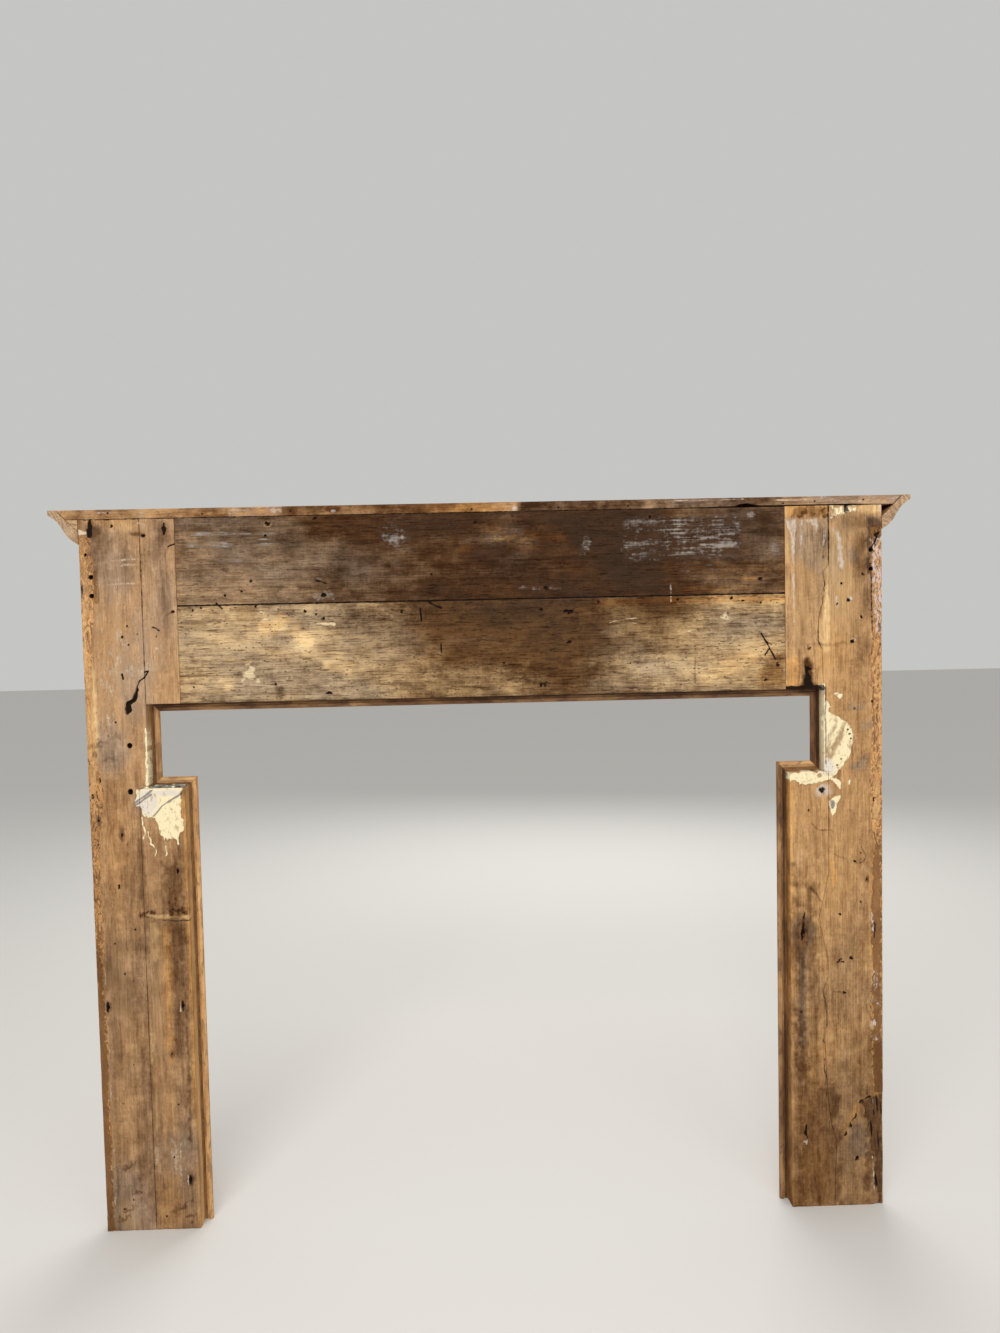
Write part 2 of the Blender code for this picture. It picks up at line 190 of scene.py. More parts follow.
# A row gives a mark's place or points in millimetres, then its size, its strength, how soft
# and how shaken its rim is, and its turn. What a row leaves out is as in the functions above.
LEFT_MARKS = {
    (spot, "bleach"): (
        (-610, 1010, 170, 260, 0.26), (-650, 900, 90, 160, 0.22), (-656, 955, 40, 220, 0.32),
        (-588, 1010, 30, 240, 0.26), (-661, 1072, 16, 40, 0.4), (-600, 132, 16, 24, 0.4, 1.3),
        (-640, 44, 50, 40, 0.25, 1.4, 0.8), (-563, 120, 34, 120, 0.34, 1.3),
        (-583, 1241, 12, 20, 0.5, 1.2, 0.8), (-566, 1029, 6, 5, 0.6, 0.8),
    ),
    (spot, "honey"): (
        (-640, 1245, 90, 24, 0.6, 1), (-596, 1090, 14, 300, 0.3, 1), (-650, 700, 60, 260, 0.4, 1.3),
    ),
    (spot, "fresh"): (
        (-612, 1238, 26, 22, 0.6), (-682, 915, 24, 190, 0.95, 0.9), (-652, 30, 50, 70, 0.45, 1.3),
        (-545, 34, 36, 60, 0.4, 1.3), (-654, 440, 34, 200, 0.4, 1.3), (-588, 420, 26, 260, 0.36, 1.3),
    ),
    (spot, "grey"): (
        (-640, 1170, 90, 130, 0.7), (-650, 860, 60, 90, 0.9), (-612, 960, 50, 150, 0.6),
        (-560, 1130, 60, 240, 0.55), (-590, 1000, 40, 260, 0.6), (-686, 1136, 11, 44, 0.9, 0.8),
        (-594, 762, 44, 48, 1, 0.9), (-560, 778, 60, 14, 0.9, 0.9),
    ),
    (spot, "soot"): (
        (-650, 1215, 60, 40, 0.45), (-660, 1190, 34, 90, 0.5), (-668, 868, 30, 15, 0.55, 1.2, 0.9, 20),
        (-640, 878, 26, 13, 0.55, 1.2, 0.9, 20), (-655, 842, 34, 17, 0.55, 1.2, 0.9, 20),
        (-684, 862, 20, 10, 0.55, 1.2, 0.9, 20), (-549, 1110, 20, 260, 0.36), (-626, 112, 34, 110, 0.62),
        (-650, 118, 30, 14, 0.75, 1.3, 1, 20), (-636, 70, 26, 10, 0.75, 1.3, 1, 20),
        (-655, 40, 40, 12, 0.75, 1.3, 1, 20), (-560, 40, 50, 20, 0.75, 1.3, 1, 20),
        (-545, 22, 34, 14, 0.75, 1.3, 1, 20), (-660, 24, 36, 10, 0.75, 1.3, 1, 20),
        (-606, 640, 16, 260, 0.55, 1.1), (-600, 50, 60, 120, 0.55), (-622, 190, 44, 140, 0.62, 1.3),
        (-668, 1231, 34, 44, 0.75), (-548, 1222, 30, 60, 0.6), (-594, 1225, 26, 8, 0.7, 1),
        (-675, 404, 20, 34, 0.75), (-545, 402, 20, 34, 0.75), (-543, 89, 20, 34, 0.75),
        (-545, 572, 34, 12, 0.95, 1.1, 1), (-556, 570, 24, 14, 0.95, 1.1, 1),
        (-534, 566, 14, 8, 0.95, 1.1, 1), (-605, 566, 18, 12, 0.95, 1.1, 1),
        (-592, 570, 14, 8, 0.95, 1.1, 1), (-551, 588, 4, 26, 0.95, 1.1, 1),
        (-561, 586, 3, 20, 0.95, 1.1, 1),
    ),
    (spot, "ink"): (
        (-582, 1222, 12, 5, 0.55, 1), (-689, 1133, 4, 22, 0.6, 1), (-615, 1068, 3, 3.9, 0.85, 0.9),
        (-624, 1050, 4, 5.2, 0.85, 0.9), (-614, 1036, 3, 3.9, 0.85, 0.9), (-622, 540, 3, 3.9, 0.85, 0.9),
        (-658, 516, 3, 3.9, 0.85, 0.9), (-643, 462, 3, 3.9, 0.85, 0.9), (-559, 226, 3, 3.9, 0.85, 0.9),
        (-570, 131, 3, 3.9, 0.85, 0.9), (-587, 24, 3, 3.9, 0.85, 0.9), (-644, 56, 3, 3.9, 0.85, 0.9),
        (-661, 40, 3, 3.9, 0.85, 0.9), (-598, 1054, 2, 2.6, 0.85, 0.9), (-641, 903, 3, 3.9, 0.85, 0.9),
        (-655, 880, 2, 2.6, 0.85, 0.9), (-566, 1049, 2, 2.6, 0.85, 0.9), (-630, 690, 2, 2.6, 0.85, 0.9),
        (-560, 610, 2, 2.6, 0.85, 0.9), (-634, 300, 2, 2.6, 0.85, 0.9), (-655, 230, 2, 2.6, 0.85, 0.9),
        (-552, 480, 2, 2.6, 0.85, 0.9), (-548, 571, 6, 3.4, 0.6, 1.2, 1, 20),
        (-538, 567, 6, 3.4, 0.6, 1.2, 1, 20), (-556, 573, 6, 3.4, 0.6, 1.2, 1, 20),
    ),
    (spot, "knot"): (
        (-679, 848, 10, 16, 0.6, 0.8),
    ),
    (stroke, "fresh"): (
        ([(-683, 1215), (-684, 1150), (-686, 1090)], 16, 0.55, 9, 3),
        ([(-689, 1090), (-688, 980), (-689, 900)], 7, 0.9, 6, 2),
        ([(-682, 830), (-684, 780), (-683, 750)], 10, 0.7, 8, 3),
        ([(-600, 566, 0.5), (-575, 561, 0.9), (-528, 559)], 6, 1, 4, 1.6),
        ([(-602, 380, 0.6), (-601, 340), (-602, 300, 0.6)], 4, 0.8, 4, 1.5),
    ),
    (stroke, "honey"): (
        ([(-686, 560, 0.3), (-687, 400), (-687, 200), (-686, -4)], 14, 1, 7, 2),
        ([(-530, -2), (-529.5, 400), (-530, 787)], 7, 1, 5),
    ),
    (stroke, "bleach"): (
        ([(-677, 520), (-676, 330), (-675, 120), (-676, 10)], 4, 0.38, 6, 2),
        ([(-648, 1181, 0.4), (-592, 1182)], 2.6, 0.6, 4, 1),
        ([(-636, 1172, 0.4), (-592, 1173)], 2.6, 0.6, 4, 1),
        ([(-664, 1140, 0.4), (-600, 1141)], 2.6, 0.6, 4, 1), ([(-679, 413), (-679, 395)], 2.4, 0.7),
        ([(-549, 411), (-549, 393)], 2.4, 0.7), ([(-547, 98), (-547, 80)], 2.4, 0.7),
    ),
    (stroke, "ink"): (
        # a painted shadow line where the shelf sits on the boards' tops
        ([(-694, 1250.4), (-600, 1250.6), (-528, 1250.6)], 1.6, 0.8, 1.8, 0.2),
        ([(-672, 1247, 0.5), (-672, 1238), (-672, 1222, 0.7)], 9, 0.95, 6),
        ([(-546, 1242, 0.3), (-546, 1234), (-546, 1224, 0.5)], 7, 0.95, 5),
        ([(-588, 1236), (-588, 1150, 1.2), (-588, 1060, 0.8), (-588.5, 940, 0.6)], 1.6, 0.72, 2.4, 0.3),
        ([(-673, 1162, 0.4), (-662.5, 1163, 0.7), (-662, 1111)], 1.8, 0.5, 2.4),
        ([(-536, 1091), (-548, 1085)], 3, 0.5, 4),
        ([(-675, 412, 0.4), (-675, 404), (-675, 396, 0.4)], 5, 0.9),
        ([(-545, 410, 0.4), (-545, 402), (-545, 394, 0.4)], 5, 0.9),
        ([(-543, 97, 0.4), (-543, 89), (-543, 81, 0.4)], 5, 0.9),
        ([(-580, 556, 0.5), (-560, 553), (-527, 553, 0.8)], 1.8, 0.75, 3, 1),
        ([(-606.5, 570, 0.8), (-606, 400), (-606, 0, 0.8)], 1.3, 0.55, 2.4),
    ),
    (stroke, "soot"): (
        ([(-545, 1225), (-545, 1150)], 5, 0.6, 6), ([(-622, 993), (-612, 990), (-606, 994)], 2, 0.5),
        ([(-611, 759), (-600, 767), (-586, 776)], 3.4, 1, 2.6),
        ([(-582, 739), (-566, 757), (-533, 777)], 3.4, 1, 2.6),
        ([(-612, 764), (-596, 774), (-585, 783)], 3.4, 1, 2.6),
        ([(-540, 440), (-538, 300), (-541, 160)], 9, 0.7, 9, 2),
    ),
    (stroke, "lime"): (
        ([(-591, 892, 0.6), (-590.5, 850, 0.9), (-591, 795, 1.3)], 5, 1, 4),
        ([(-602, 736), (-601, 722), (-599, 706), (-602, 700)], 3, 0.9, 2.4, 1.5),
        ([(-593, 712), (-589, 690)], 3, 0.9, 2.4, 1.5),
        ([(-589, 690), (-581, 678), (-583, 668)], 3, 0.9, 2.4, 1.5),
        ([(-564, 686), (-562, 672), (-566, 668)], 3, 0.9, 2.4, 1.5),
        ([(-569, 712), (-566, 700), (-565, 690)], 3, 0.9, 2.4, 1.5),
        ([(-545, 700), (-541, 688)], 3, 0.9, 2.4, 1.5),
    ),
    (stroke, "sunk"): (
        ([(-580, 554), (-528, 552)], 5, 1.2, 3, 1),
    ),
    (patch, "varnish"): (
        ([(-694, 1222), (-671, 1224), (-669, 1160), (-672, 1100), (-676, 1040), (-678, 960), (-677, 900),
         (-676, 830), (-670, 800), (-668, 775), (-671, 748), (-677, 700), (-679, 600), (-676, 520),
         (-680, 430), (-677, 330), (-680, 240), (-677, 150), (-680, 60), (-678, -4),
         (-694, -4)], 1, 3.5, 2.2),
    ),
    (patch, "bleach"): (
        ([(-692, 1232), (-677, 1232), (-677, 1226), (-692, 1226)], 1, 3, 1.5),
        ([(-604, 150), (-594, 148), (-596, 120), (-604, 118)], 0.6, 8, 2),
    ),
    (patch, "soot"): (
        ([(-578, 660), (-532, 660), (-532, 300), (-566, 300)], 0.68, 30, 6),
        ([(-671, 1164), (-662, 1164), (-662, 1108), (-671, 1108)], 0.62, 4, 1.5),
        ([(-556, 545), (-537, 545), (-538, 470), (-544, 420), (-552, 460)], 0.7, 14, 4),
    ),
    (patch, "honey"): (
        ([(-671, 1164), (-662, 1164), (-662, 1108), (-671, 1108)], 0.9, 4, 1.5),
        ([(-578, 542), (-560, 546), (-560, 420), (-562, 300), (-577, 300), (-578, 420)], 0.8, 14, 4),
    ),
    (patch, "lime"): (
        ([(-610, 784), (-612, 757), (-603, 753), (-601, 740), (-593, 737), (-582, 736), (-577, 728),
         (-574, 707), (-565, 700), (-561, 693), (-550, 700), (-543, 693), (-539, 707), (-531, 715),
         (-530, 731), (-537, 734), (-534, 757), (-532, 789), (-560, 790), (-592, 789)], 1, 6, 2.4),
    ),
    (patch, "fresh"): (
        ([(-597, 548), (-589, 551), (-583, 538), (-582, 500), (-590, 470), (-597, 510)], 0.85, 10, 2),
        ([(-600, 236), (-594, 230), (-593, 190), (-600, 180)], 0.5, 10),
    ),
    (hole,): (
        (-673.3, 1153, 6, 6, 12), (-673.3, 1121, 6, 6, 12), (-619, 862, 7, 7, 10), (-621, 782, 7, 8, 10),
        (-635, 1239, 3), (-681, 1191), (-536, 1091, 5), (-673, 803, 3, 8), (-686, 775, 3, 7),
        (-545, 641, 3, 8), (-647, 616, 3, 8), (-675, 404, 5, 6), (-545, 402, 4, 5), (-543, 89, 4, 6),
        (-582, 1222, 6, 5),
    ),
    (crack,): (
        ([(-602, 963, 0.3), (-603, 955, 0.6), (-607, 944), (-613, 938), (-619, 933, 1.3),
         (-619, 924, 1.8), (-621, 920, 1.2)], 6, 5),
        ([(-602, 964), (-597, 974), (-590, 979), (-582, 989)], 1.6), ([(-589, 989), (-582, 990)],),
        ([(-541, 1202), (-528, 1208)], 1.6), ([(-572, 1065), (-567, 1064), (-561, 1059)], 1.6, 1.2),
        ([(-627, 986), (-625, 977)], 2.2),
    ),
    (knot,): (
        (-677, 733, 12, 16), (-638.5, 707, 11, 26), (-567, 317, 10, 14), (-612, 564, 9, 13),
    ),
}


def mark_left_side(canvas):
    """Everything that time has left on the rear of the left leg and stile."""
    x, z = canvas["x"], canvas["z"]
    canvas["soot"] = np.interp(z, [0, 300, 600, 780, 900, 1000, 1110, 1180, 1251],
                               [0.40, 0.44, 0.38, 0.34, 0.12, 0.0, 0.06, 0.22, 0.20])
    canvas["soot"] += 0.10 * rough(x, z, 60, 14)
    low = np.clip(1 - z / 620, 0, 1)
    canvas["grey"] = np.maximum(0, low * (0.55 + 0.5 * rough(x, z * 0.5, 70, 17)))
    canvas["honey"] = np.maximum(0, low * (x > -606) * (x < -560)
                                 * (0.15 + 0.5 * rough(x, z * 0.4, 50, 18)))
    lay_marks(canvas, LEFT_MARKS)
    turns = np.radians(np.arange(0, 361, 30))
    bruise = [(-635 + 11 * math.cos(turn), 828 + 17 * math.sin(turn)) for turn in turns]
    stroke(canvas, "soot", bruise, 1.6, 0.5)
    canvas["soot"] = np.maximum(canvas["soot"], 0.5 * np.clip(1 - z / 22, 0, 1))


def sawn_edge(node, side):
    """Corners up one side of a board, as heights and places across, from its CAD node."""
    low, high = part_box(node)
    middle = (low.x + high.x) / 2
    corners = {(round(v.co.z, 5), round(v.co.x, 5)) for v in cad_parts[node].data.vertices
               if (v.co.x > middle) == (side == "right")}
    edge = np.array(sorted(corners))
    return edge[:, 0], edge[:, 1]


def straight_edge(node, side):
    low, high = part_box(node)
    place = high.x if side == "right" else low.x
    return np.array([low.z, high.z]), np.array([place, place])


def level_lines(low, high, cell, corners):
    """Heights of the mesh's rows: even, but with one on each corner of the outline."""
    even = np.linspace(low, high, max(2, int(round((high - low) / cell)) + 1))
    kept = [h for h in even if all(abs(h - c) > cell * 0.45 for c in corners)]
    return np.array(sorted(set(kept) | {low, high} | {c for c in corners if low < c < high}))


def net(rows, columns):
    """The faces of a net of points, and the loop of points round its rim."""
    index = np.arange(rows * columns).reshape(rows, columns)
    quads = np.stack([index[:-1, :-1], index[:-1, 1:], index[1:, 1:], index[1:, :-1]], -1)
    rim = np.concatenate([index[0, :-1], index[:-1, -1], index[-1, :0:-1], index[:0:-1, 0]])
    return quads.reshape(-1, 4), rim


def place_piece(name, mesh, sharp, node=None, finish=None):
    """Turn a mesh's faces outwards, shade it, and set it in the frame as a finished piece."""
    shape = bmesh.new()
    shape.from_mesh(mesh)
    bmesh.ops.recalc_face_normals(shape, faces=shape.faces)
    shape.to_mesh(mesh)
    shape.free()
    mesh.shade_smooth()
    if sharp:
        mesh.set_sharp_from_angle(angle=math.radians(sharp))
    if finish:
        mesh.materials.append(finish)
    piece = bpy.data.objects.new(name, mesh)
    bpy.context.scene.collection.objects.link(piece)
    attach(piece, "root")
    if node:
        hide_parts(node)


def rear_board(name, node, draw, finish, left=None, right=None, cell=CELL,
               lower_edge=None, front=None, reveal_stain_light_and_shade=None):
    """A board with a fine rear face drawn by a function, and plain sides and front."""
    low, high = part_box(node)
    left = left or straight_edge(node, "left")
    right = right or straight_edge(node, "right")
    rows = level_lines(low.z, high.z, cell, np.concatenate([left[0], right[0]]))
    left_at = np.interp(rows, *left)[:, None]
    right_at = np.interp(rows, *right)[:, None]
    share = np.linspace(0, 1, int(round((high.x - low.x) / cell)) + 1)
    x = left_at * (1 - share) + right_at * share
    z = np.repeat(rows[:, None], len(share), 1)
    if lower_edge is not None:
        z = z + lower_edge(x) * (1 - (z - low.z) / (high.z - low.z))
    canvas = {channel: np.zeros(x.size) for channel in CHANNELS}
    canvas["x"], canvas["z"] = x.ravel() / MM, z.ravel() / MM
    draw(canvas)
    # the face is let in a little, worn and chipped at its edges, and raised by plaster
    to_side = np.minimum(x - left_at, right_at - x) / MM
    to_end = np.minimum(z - z.min(0), z.max(0) - z) / MM
    to_edge = np.minimum(to_side, to_end).ravel()
    shake = rough(canvas["x"], canvas["z"], 24, 41)
    worn = 0.9 * np.clip(1 - to_edge / 2.4, 0, 1) ** 2 * (0.9 + 0.5 * shake)
    chipped = 1.6 * np.clip(shake - 0.75, 0, 1) * np.clip(1 - to_edge / 7, 0, 1)
    uneven = 0.16 * rough(canvas["x"], canvas["z"], 70, 51)
    plaster = 0.75 * np.clip((canvas["lime"] - 0.35) / 0.4, 0, 1)
    plaster *= 0.8 + 0.35 * rough(canvas["x"], canvas["z"], 11, 61)
    relief = canvas["sunk"] + worn + chipped + uneven - plaster
    y = low.y + np.maximum(RECESS + relief.reshape(x.shape) * MM, 0.0)
    nudge = 0.3 * MM * (0.6 + 0.4 * drift(canvas["z"], canvas["x"], 13, 71)).reshape(x.shape)
    x[:, 0] += nudge[:, 0]
    x[:, -1] -= nudge[:, -1]

    quads, rim = net(*x.shape)
    n = len(rim)
    face_y = front or (lambda height: np.full(len(height), high.y))
    rim_x, rim_z = x.ravel()[rim], z.ravel()[rim]
    inset_z = np.clip(rim_z, low.z + EASED_ARRIS, high.z - EASED_ARRIS)
    inset_x = np.clip(rim_x, np.interp(inset_z, *left) + EASED_ARRIS,
                      np.interp(inset_z, *right) - EASED_ARRIS)
    rear = np.stack([x.ravel(), y.ravel(), z.ravel()], -1)
    side_ring = np.stack([rim_x, face_y(rim_z) - EASED_ARRIS, rim_z], -1)
    front_ring = np.stack([inset_x, face_y(inset_z), inset_z], -1)
    first, second = x.size + np.arange(n), x.size + n + np.arange(n)
    walls = [np.stack([near, far, np.roll(far, -1), np.roll(near, -1)], -1).tolist()
             for near, far in ((rim, first), (first, second))]
    mesh = bpy.data.meshes.new(name)
    mesh.from_pydata(np.concatenate([rear, side_ring, front_ring]).tolist(), [],
                     quads.tolist() + walls[0] + walls[1] + [second[::-1].tolist()])
    # marks run over the edge onto the side walls, and end before the display face
    values = {channel: (canvas[channel],
                        canvas[channel][rim] * (1.0 if channel in ("lime", "fresh", "honey") else 0.6),
                        np.zeros(n)) for channel in PAINTED}
    values["fair"] = (np.zeros(x.size), np.full(n, 0.0 if reveal_stain_light_and_shade else 0.9), np.ones(n))
    # the side wall facing the opening takes set values instead: painted lighter, as lit, on the left, and
    # painted shade on the right
    for channel, wall in (reveal_stain_light_and_shade or {}).items():
        values[channel] = (canvas[channel], np.full(n, wall), np.zeros(n))
    for channel, parts in values.items():
        layer = mesh.attributes.new(channel, "FLOAT", "POINT")
        layer.data.foreach_set("value", np.concatenate(parts).astype(np.float32))
    place_piece(name, mesh, 50, node, finish)


class Wire:
    """An output in a node tree. Numbers can be added, taken away and multiplied."""

    def __init__(self, tree, socket):
        self.tree, self.socket = tree, socket

    def step(self, operation, *others, clamp=False):
        return put(self.tree, "Math", dict(enumerate((self,) + others)), operation=operation,
                   use_clamp=clamp)

    def __add__(self, other):
        return self.step("ADD", other)

    def __sub__(self, other):
        return self.step("SUBTRACT", other)

    def __mul__(self, other):
        return self.step("MULTIPLY", other)

    def held(self):
        return self.step("ADD", 0.0, clamp=True)

    def beside(self, output):
        return Wire(self.tree, self.socket.node.outputs[output])


def wire(node, inputs):
    """Link a node's inputs to wires, or set them to values."""
    for key, source in inputs.items():
        if isinstance(source, Wire):
            source.tree.links.new(source.socket, node.inputs[key])
        else:
            node.inputs[key].default_value = source


def put(tree, kind, inputs=None, output=0, **settings):
    """Add a node with its settings and inputs, and take one of its outputs."""
    node = tree.nodes.new(kind if "Node" in kind else "ShaderNode" + kind)
    for key, value in settings.items():
        setattr(node, key, value)
    wire(node, inputs or {})
    return Wire(tree, node.outputs[output])


def turned(tree, operation, a, b, **more):
    """One step of arithmetic between vectors."""
    return put(tree, "VectorMath", {0: a, 1: b, **more}, operation=operation)


def mixed(share, under, over, kind="MIX"):
    """Two colours mixed by the share of the second."""
    return put(share.tree, "Mix", {0: share, 6: under, 7: over}, 2, data_type="RGBA",
               blend_type=kind, clamp_factor=True)


def ramp(value, low, high, start=0.0, end=1.0):
    """A value spread from one range to another, smoothly."""
    return put(value.tree, "MapRange", {0: value, 1: low, 2: high, 3: start, 4: end},
               interpolation_type="SMOOTHSTEP")


def grain_noise(place, across, deep, along, detail=2.0, twist=0.0):
    """Noise stretched along the grain: how often it changes per metre each way."""
    scaled = turned(place.tree, "MULTIPLY", place, (across, deep, along))
    return put(place.tree, "TexNoise", {"Vector": scaled, "Scale": 1.0, "Detail": detail,
                                        "Distortion": twist})


def channel_of(tree, name):
    return put(tree, "Attribute", None, "Fac", attribute_name=name)


def new_group(name, inputs, outputs):
    """An empty shader group with named sockets: its tree, its inputs and its way out."""
    tree = bpy.data.node_groups.new(name, "ShaderNodeTree")
    for label, kind, value in inputs:
        socket = tree.interface.new_socket(label, in_out="INPUT", socket_type="NodeSocket" + kind)
        socket.default_value = value
    for label, kind in outputs:
        tree.interface.new_socket(label, in_out="OUTPUT", socket_type="NodeSocket" + kind)
    entry = tree.nodes.new("NodeGroupInput").outputs
    return tree, {s.name: Wire(tree, s) for s in entry if s.name}, tree.nodes.new("NodeGroupOutput")


def use_group(tree, group, inputs):
    made = put(tree, "Group", inputs, node_tree=group).socket.node.outputs
    return {s.name: Wire(tree, s) for s in made}


def new_finish(name):
    """A new material, with its tree and its shader."""
    finish = bpy.data.materials.new(name)
    finish.use_nodes = True
    tree = finish.node_tree
    return finish, tree, tree.nodes["Principled BSDF"]


def pine_figure():
    """How old pine looks along the grain: tones across the board, rings, fibres and specks."""
    tree, entry, leave = new_group(
        "pine_figure",
        [("Place", "Vector", (0, 0, 0)), ("Bend", "Float", 0.0), ("Rings", "Float", 14.0),
         ("Seed", "Float", 0.0)],
        [("Tone", "Float"), ("Ring", "Float"), ("Fibre", "Float"), ("Mottle", "Float"),
         ("Check", "Float"), ("Speck", "Float")])
    shift = put(tree, "CombineXYZ", {0: entry["Bend"] * -MM, 1: entry["Seed"]})
    place = turned(tree, "ADD", entry["Place"], shift)
    broad = grain_noise(place, 24, 4, 1.2, 3.0, 0.3) - 0.5
    streak = grain_noise(place, 130, 9, 3.4, 3.0) - 0.5
    contour = grain_noise(place, 9, 2, 0.55, 1.0, 0.15)
    band = (contour * entry["Rings"]).step("PINGPONG", 0.5)
    needles = grain_noise(place, 430, 60, 15, 4.0, 0.7) - 0.5
    threads = grain_noise(place, 230, 60, 24, 3.0, 0.5) - 0.5
    clouds = grain_noise(place, 62, 62, 34, 8.0, 0.3) - 0.5
    saw_marks = grain_noise(place, 40, 40, 300, 3.0, 0.4) - 0.5
    grit = grain_noise(place, 250, 250, 170, 5.0, 0.5) - 0.5
    splits = grain_noise(place, 380, 80, 42, 3.0, 0.9)
    dots = turned(tree, "MULTIPLY", entry["Place"], (260, 260, 170))
    cells = put(tree, "TexVoronoi", {"Vector": dots, "Scale": 1.0}, "Color")
    sparse = ramp(put(tree, "SeparateColor", {0: cells}), 0.86, 0.90)
    wire(leave, {"Tone": streak * 0.55 + broad * 1.2,
                 "Ring": (band * 2.0).step("POWER", 4.0),
                 "Fibre": threads * 0.6 + needles * 1.4,
                 "Mottle": clouds + saw_marks * 0.25 + grit * 0.55,
                 "Check": ramp(splits, 0.575, 0.68),
                 "Speck": sparse * ramp(cells.beside("Distance"), 0.42, 0.18)})
    return tree


def ragged_mask():
    """A soft field cut to a ragged edge by fine noise."""
    tree, entry, leave = new_group(
        "ragged_mask",
        [("Field", "Float", 0.0), ("Place", "Vector", (0, 0, 0)), ("Shake", "Float", 0.3),
         ("Width", "Float", 0.12), ("Level", "Float", 0.5)],
        [("Mask", "Float")])
    fine = grain_noise(entry["Place"], 300, 300, 170, 4.0) - 0.5
    low, high = entry["Level"] - entry["Width"], entry["Level"] + entry["Width"]
    wire(leave, {"Mask": ramp(fine * entry["Shake"] + entry["Field"], low, high)})
    return tree


PINE_FIGURE = pine_figure()
RAGGED_MASK = ragged_mask()


def ragged(field, place, shake, width, level=0.5):
    return use_group(place.tree, RAGGED_MASK, {"Field": field, "Place": place, "Shake": shake,
                                               "Width": width, "Level": level})["Mask"]


def aged_board():
    """The rear of an old board: its figure, then washes, stains, varnish, plaster and holes."""
    tree, entry, leave = new_group(
        "aged_board",
        [("Place", "Vector", (0, 0, 0)), ("Seed", "Float", 0.0),
         ("Early Wood", "Color", (0.5, 0.3, 0.15, 1)), ("Late Wood", "Color", (0.3, 0.17, 0.08, 1)),
         ("Grey Wash", "Color", (0.3, 0.22, 0.15, 1)), ("Chalk", "Color", (0.75, 0.62, 0.45, 1)),
         ("Contrast", "Float", 1.0), ("Rings", "Float", 14.0), ("Weather", "Float", 0.3),
         ("Dirt", "Float", 0.5)],
        [("Color", "Color"), ("Roughness", "Float"), ("Shine", "Float"), ("Height", "Float")])
    place = entry["Place"]
    mark = {name: channel_of(tree, name) for name in PAINTED + ("fair",)}
    tone, ring, fibre, mottle, check, speck = use_group(tree, PINE_FIGURE, {
        "Place": place, "Bend": mark["bend"], "Rings": entry["Rings"],
        "Seed": entry["Seed"]}).values()
    cloud = grain_noise(place, 13, 13, 8, 4.0, 0.4)
    depth = (fibre * 1.05 + tone + mottle * 1.5) * entry["Contrast"]
    depth = (depth + ring * 0.22 + 0.40).held()
    colour = mixed(depth, entry["Early Wood"], entry["Late Wood"])
    # varnish wash, weathering, bared wood, dirt, soot with some painted shade, fine checks and chalk
    glow = mixed(depth, (0.74, 0.40, 0.13, 1), (0.42, 0.19, 0.055, 1))
    colour = mixed(ramp(mark["honey"] - tone * 0.5, 0.1, 1.0) * 0.88, colour, glow)
    film = mixed(depth, entry["Grey Wash"], (0.14, 0.10, 0.065, 1))
    colour = mixed(ramp(mark["grey"] + cloud * 0.8, 0.35, 1.3) * 0.7, colour, film)
    bared = mixed(depth, (0.86, 0.61, 0.31, 1), (0.55, 0.32, 0.13, 1))
    colour = mixed(ramp(mark["fresh"] + mottle * 0.9, 0.1, 1.0) * 0.9, colour, bared)
    blotch = ramp(grain_noise(place, 55, 55, 30, 4.0, 0.6), 0.54, 0.74)
    colour = mixed(blotch * entry["Dirt"] * 0.45, colour, (0.15, 0.09, 0.055, 1))
    soot = ramp(mark["soot"] + mottle * 0.35 + (cloud - 0.5) * 0.4, 0.0, 1.0) * 0.93
    colour = mixed(soot, colour, (0.14, 0.078, 0.045, 1), "MULTIPLY")
    deep = ramp(mark["soot"] + mottle * 0.5, 0.9, 1.5, 0.0, 0.55)
    colour = mixed(deep, colour, (0.040, 0.026, 0.018, 1))
    split = check * entry["Weather"]
    colour = mixed(split, colour, (0.30, 0.20, 0.13, 1), "MULTIPLY")
    chalk = ramp(mark["bleach"] + mottle * 1.9 + fibre * 0.9, 0.2, 1.05)
    colour = mixed(chalk * ramp(mark["bleach"], 0.03, 0.35) * 0.8, colour, entry["Chalk"])
    speck = speck * entry["Dirt"]
    colour = mixed(speck * 0.85, colour, (0.06, 0.038, 0.024, 1))
    # varnish and glue left along the outer edge, in loops and runs
    varnish = ragged(mark["varnish"], place, 0.6, 0.06)
    loops = (grain_noise(place, 85, 85, 34, 2.0, 1.1) * 4.6).step("PINGPONG", 0.5)
    body = mixed(ramp(mottle, -0.22, 0.22), (0.27, 0.11, 0.028, 1), (0.62, 0.31, 0.10, 1))
    tar = mixed(ramp(loops, 0.05, 0.17), (0.10, 0.034, 0.009, 1), body)
    straw = mixed(depth, (0.80, 0.50, 0.21, 1), (0.40, 0.19, 0.06, 1))
    tar = mixed(ramp(mark["fresh"], 0.2, 0.9) * 0.6, tar, straw)
    flecks = ramp(grain_noise(place, 270, 270, 130, 5.0, 0.6), 0.53, 0.60)
    tar = mixed(flecks * 0.6, tar, (0.74, 0.43, 0.17, 1))
    brown = mixed(ramp(mottle, -0.2, 0.2), (0.14, 0.054, 0.010, 1), (0.25, 0.105, 0.024, 1))
    tar = mixed(ramp(mark["honey"] - flecks * 0.25, 0.3, 0.7, 0.0, 0.9), tar, brown)
    tar = mixed(soot * 0.9, tar, (0.2, 0.15, 0.13, 1), "MULTIPLY")
    tar = mixed(speck * 0.9, tar, (0.05, 0.03, 0.02, 1))
    flakes = ramp(grain_noise(place, 210, 210, 95, 4.0, 0.8), 0.47, 0.58)
    tar = mixed(flakes * ramp(mark["bleach"], 0.2, 0.8) * 0.9, tar, (0.60, 0.47, 0.43, 1))
    colour = mixed(varnish * 0.9, colour, tar)
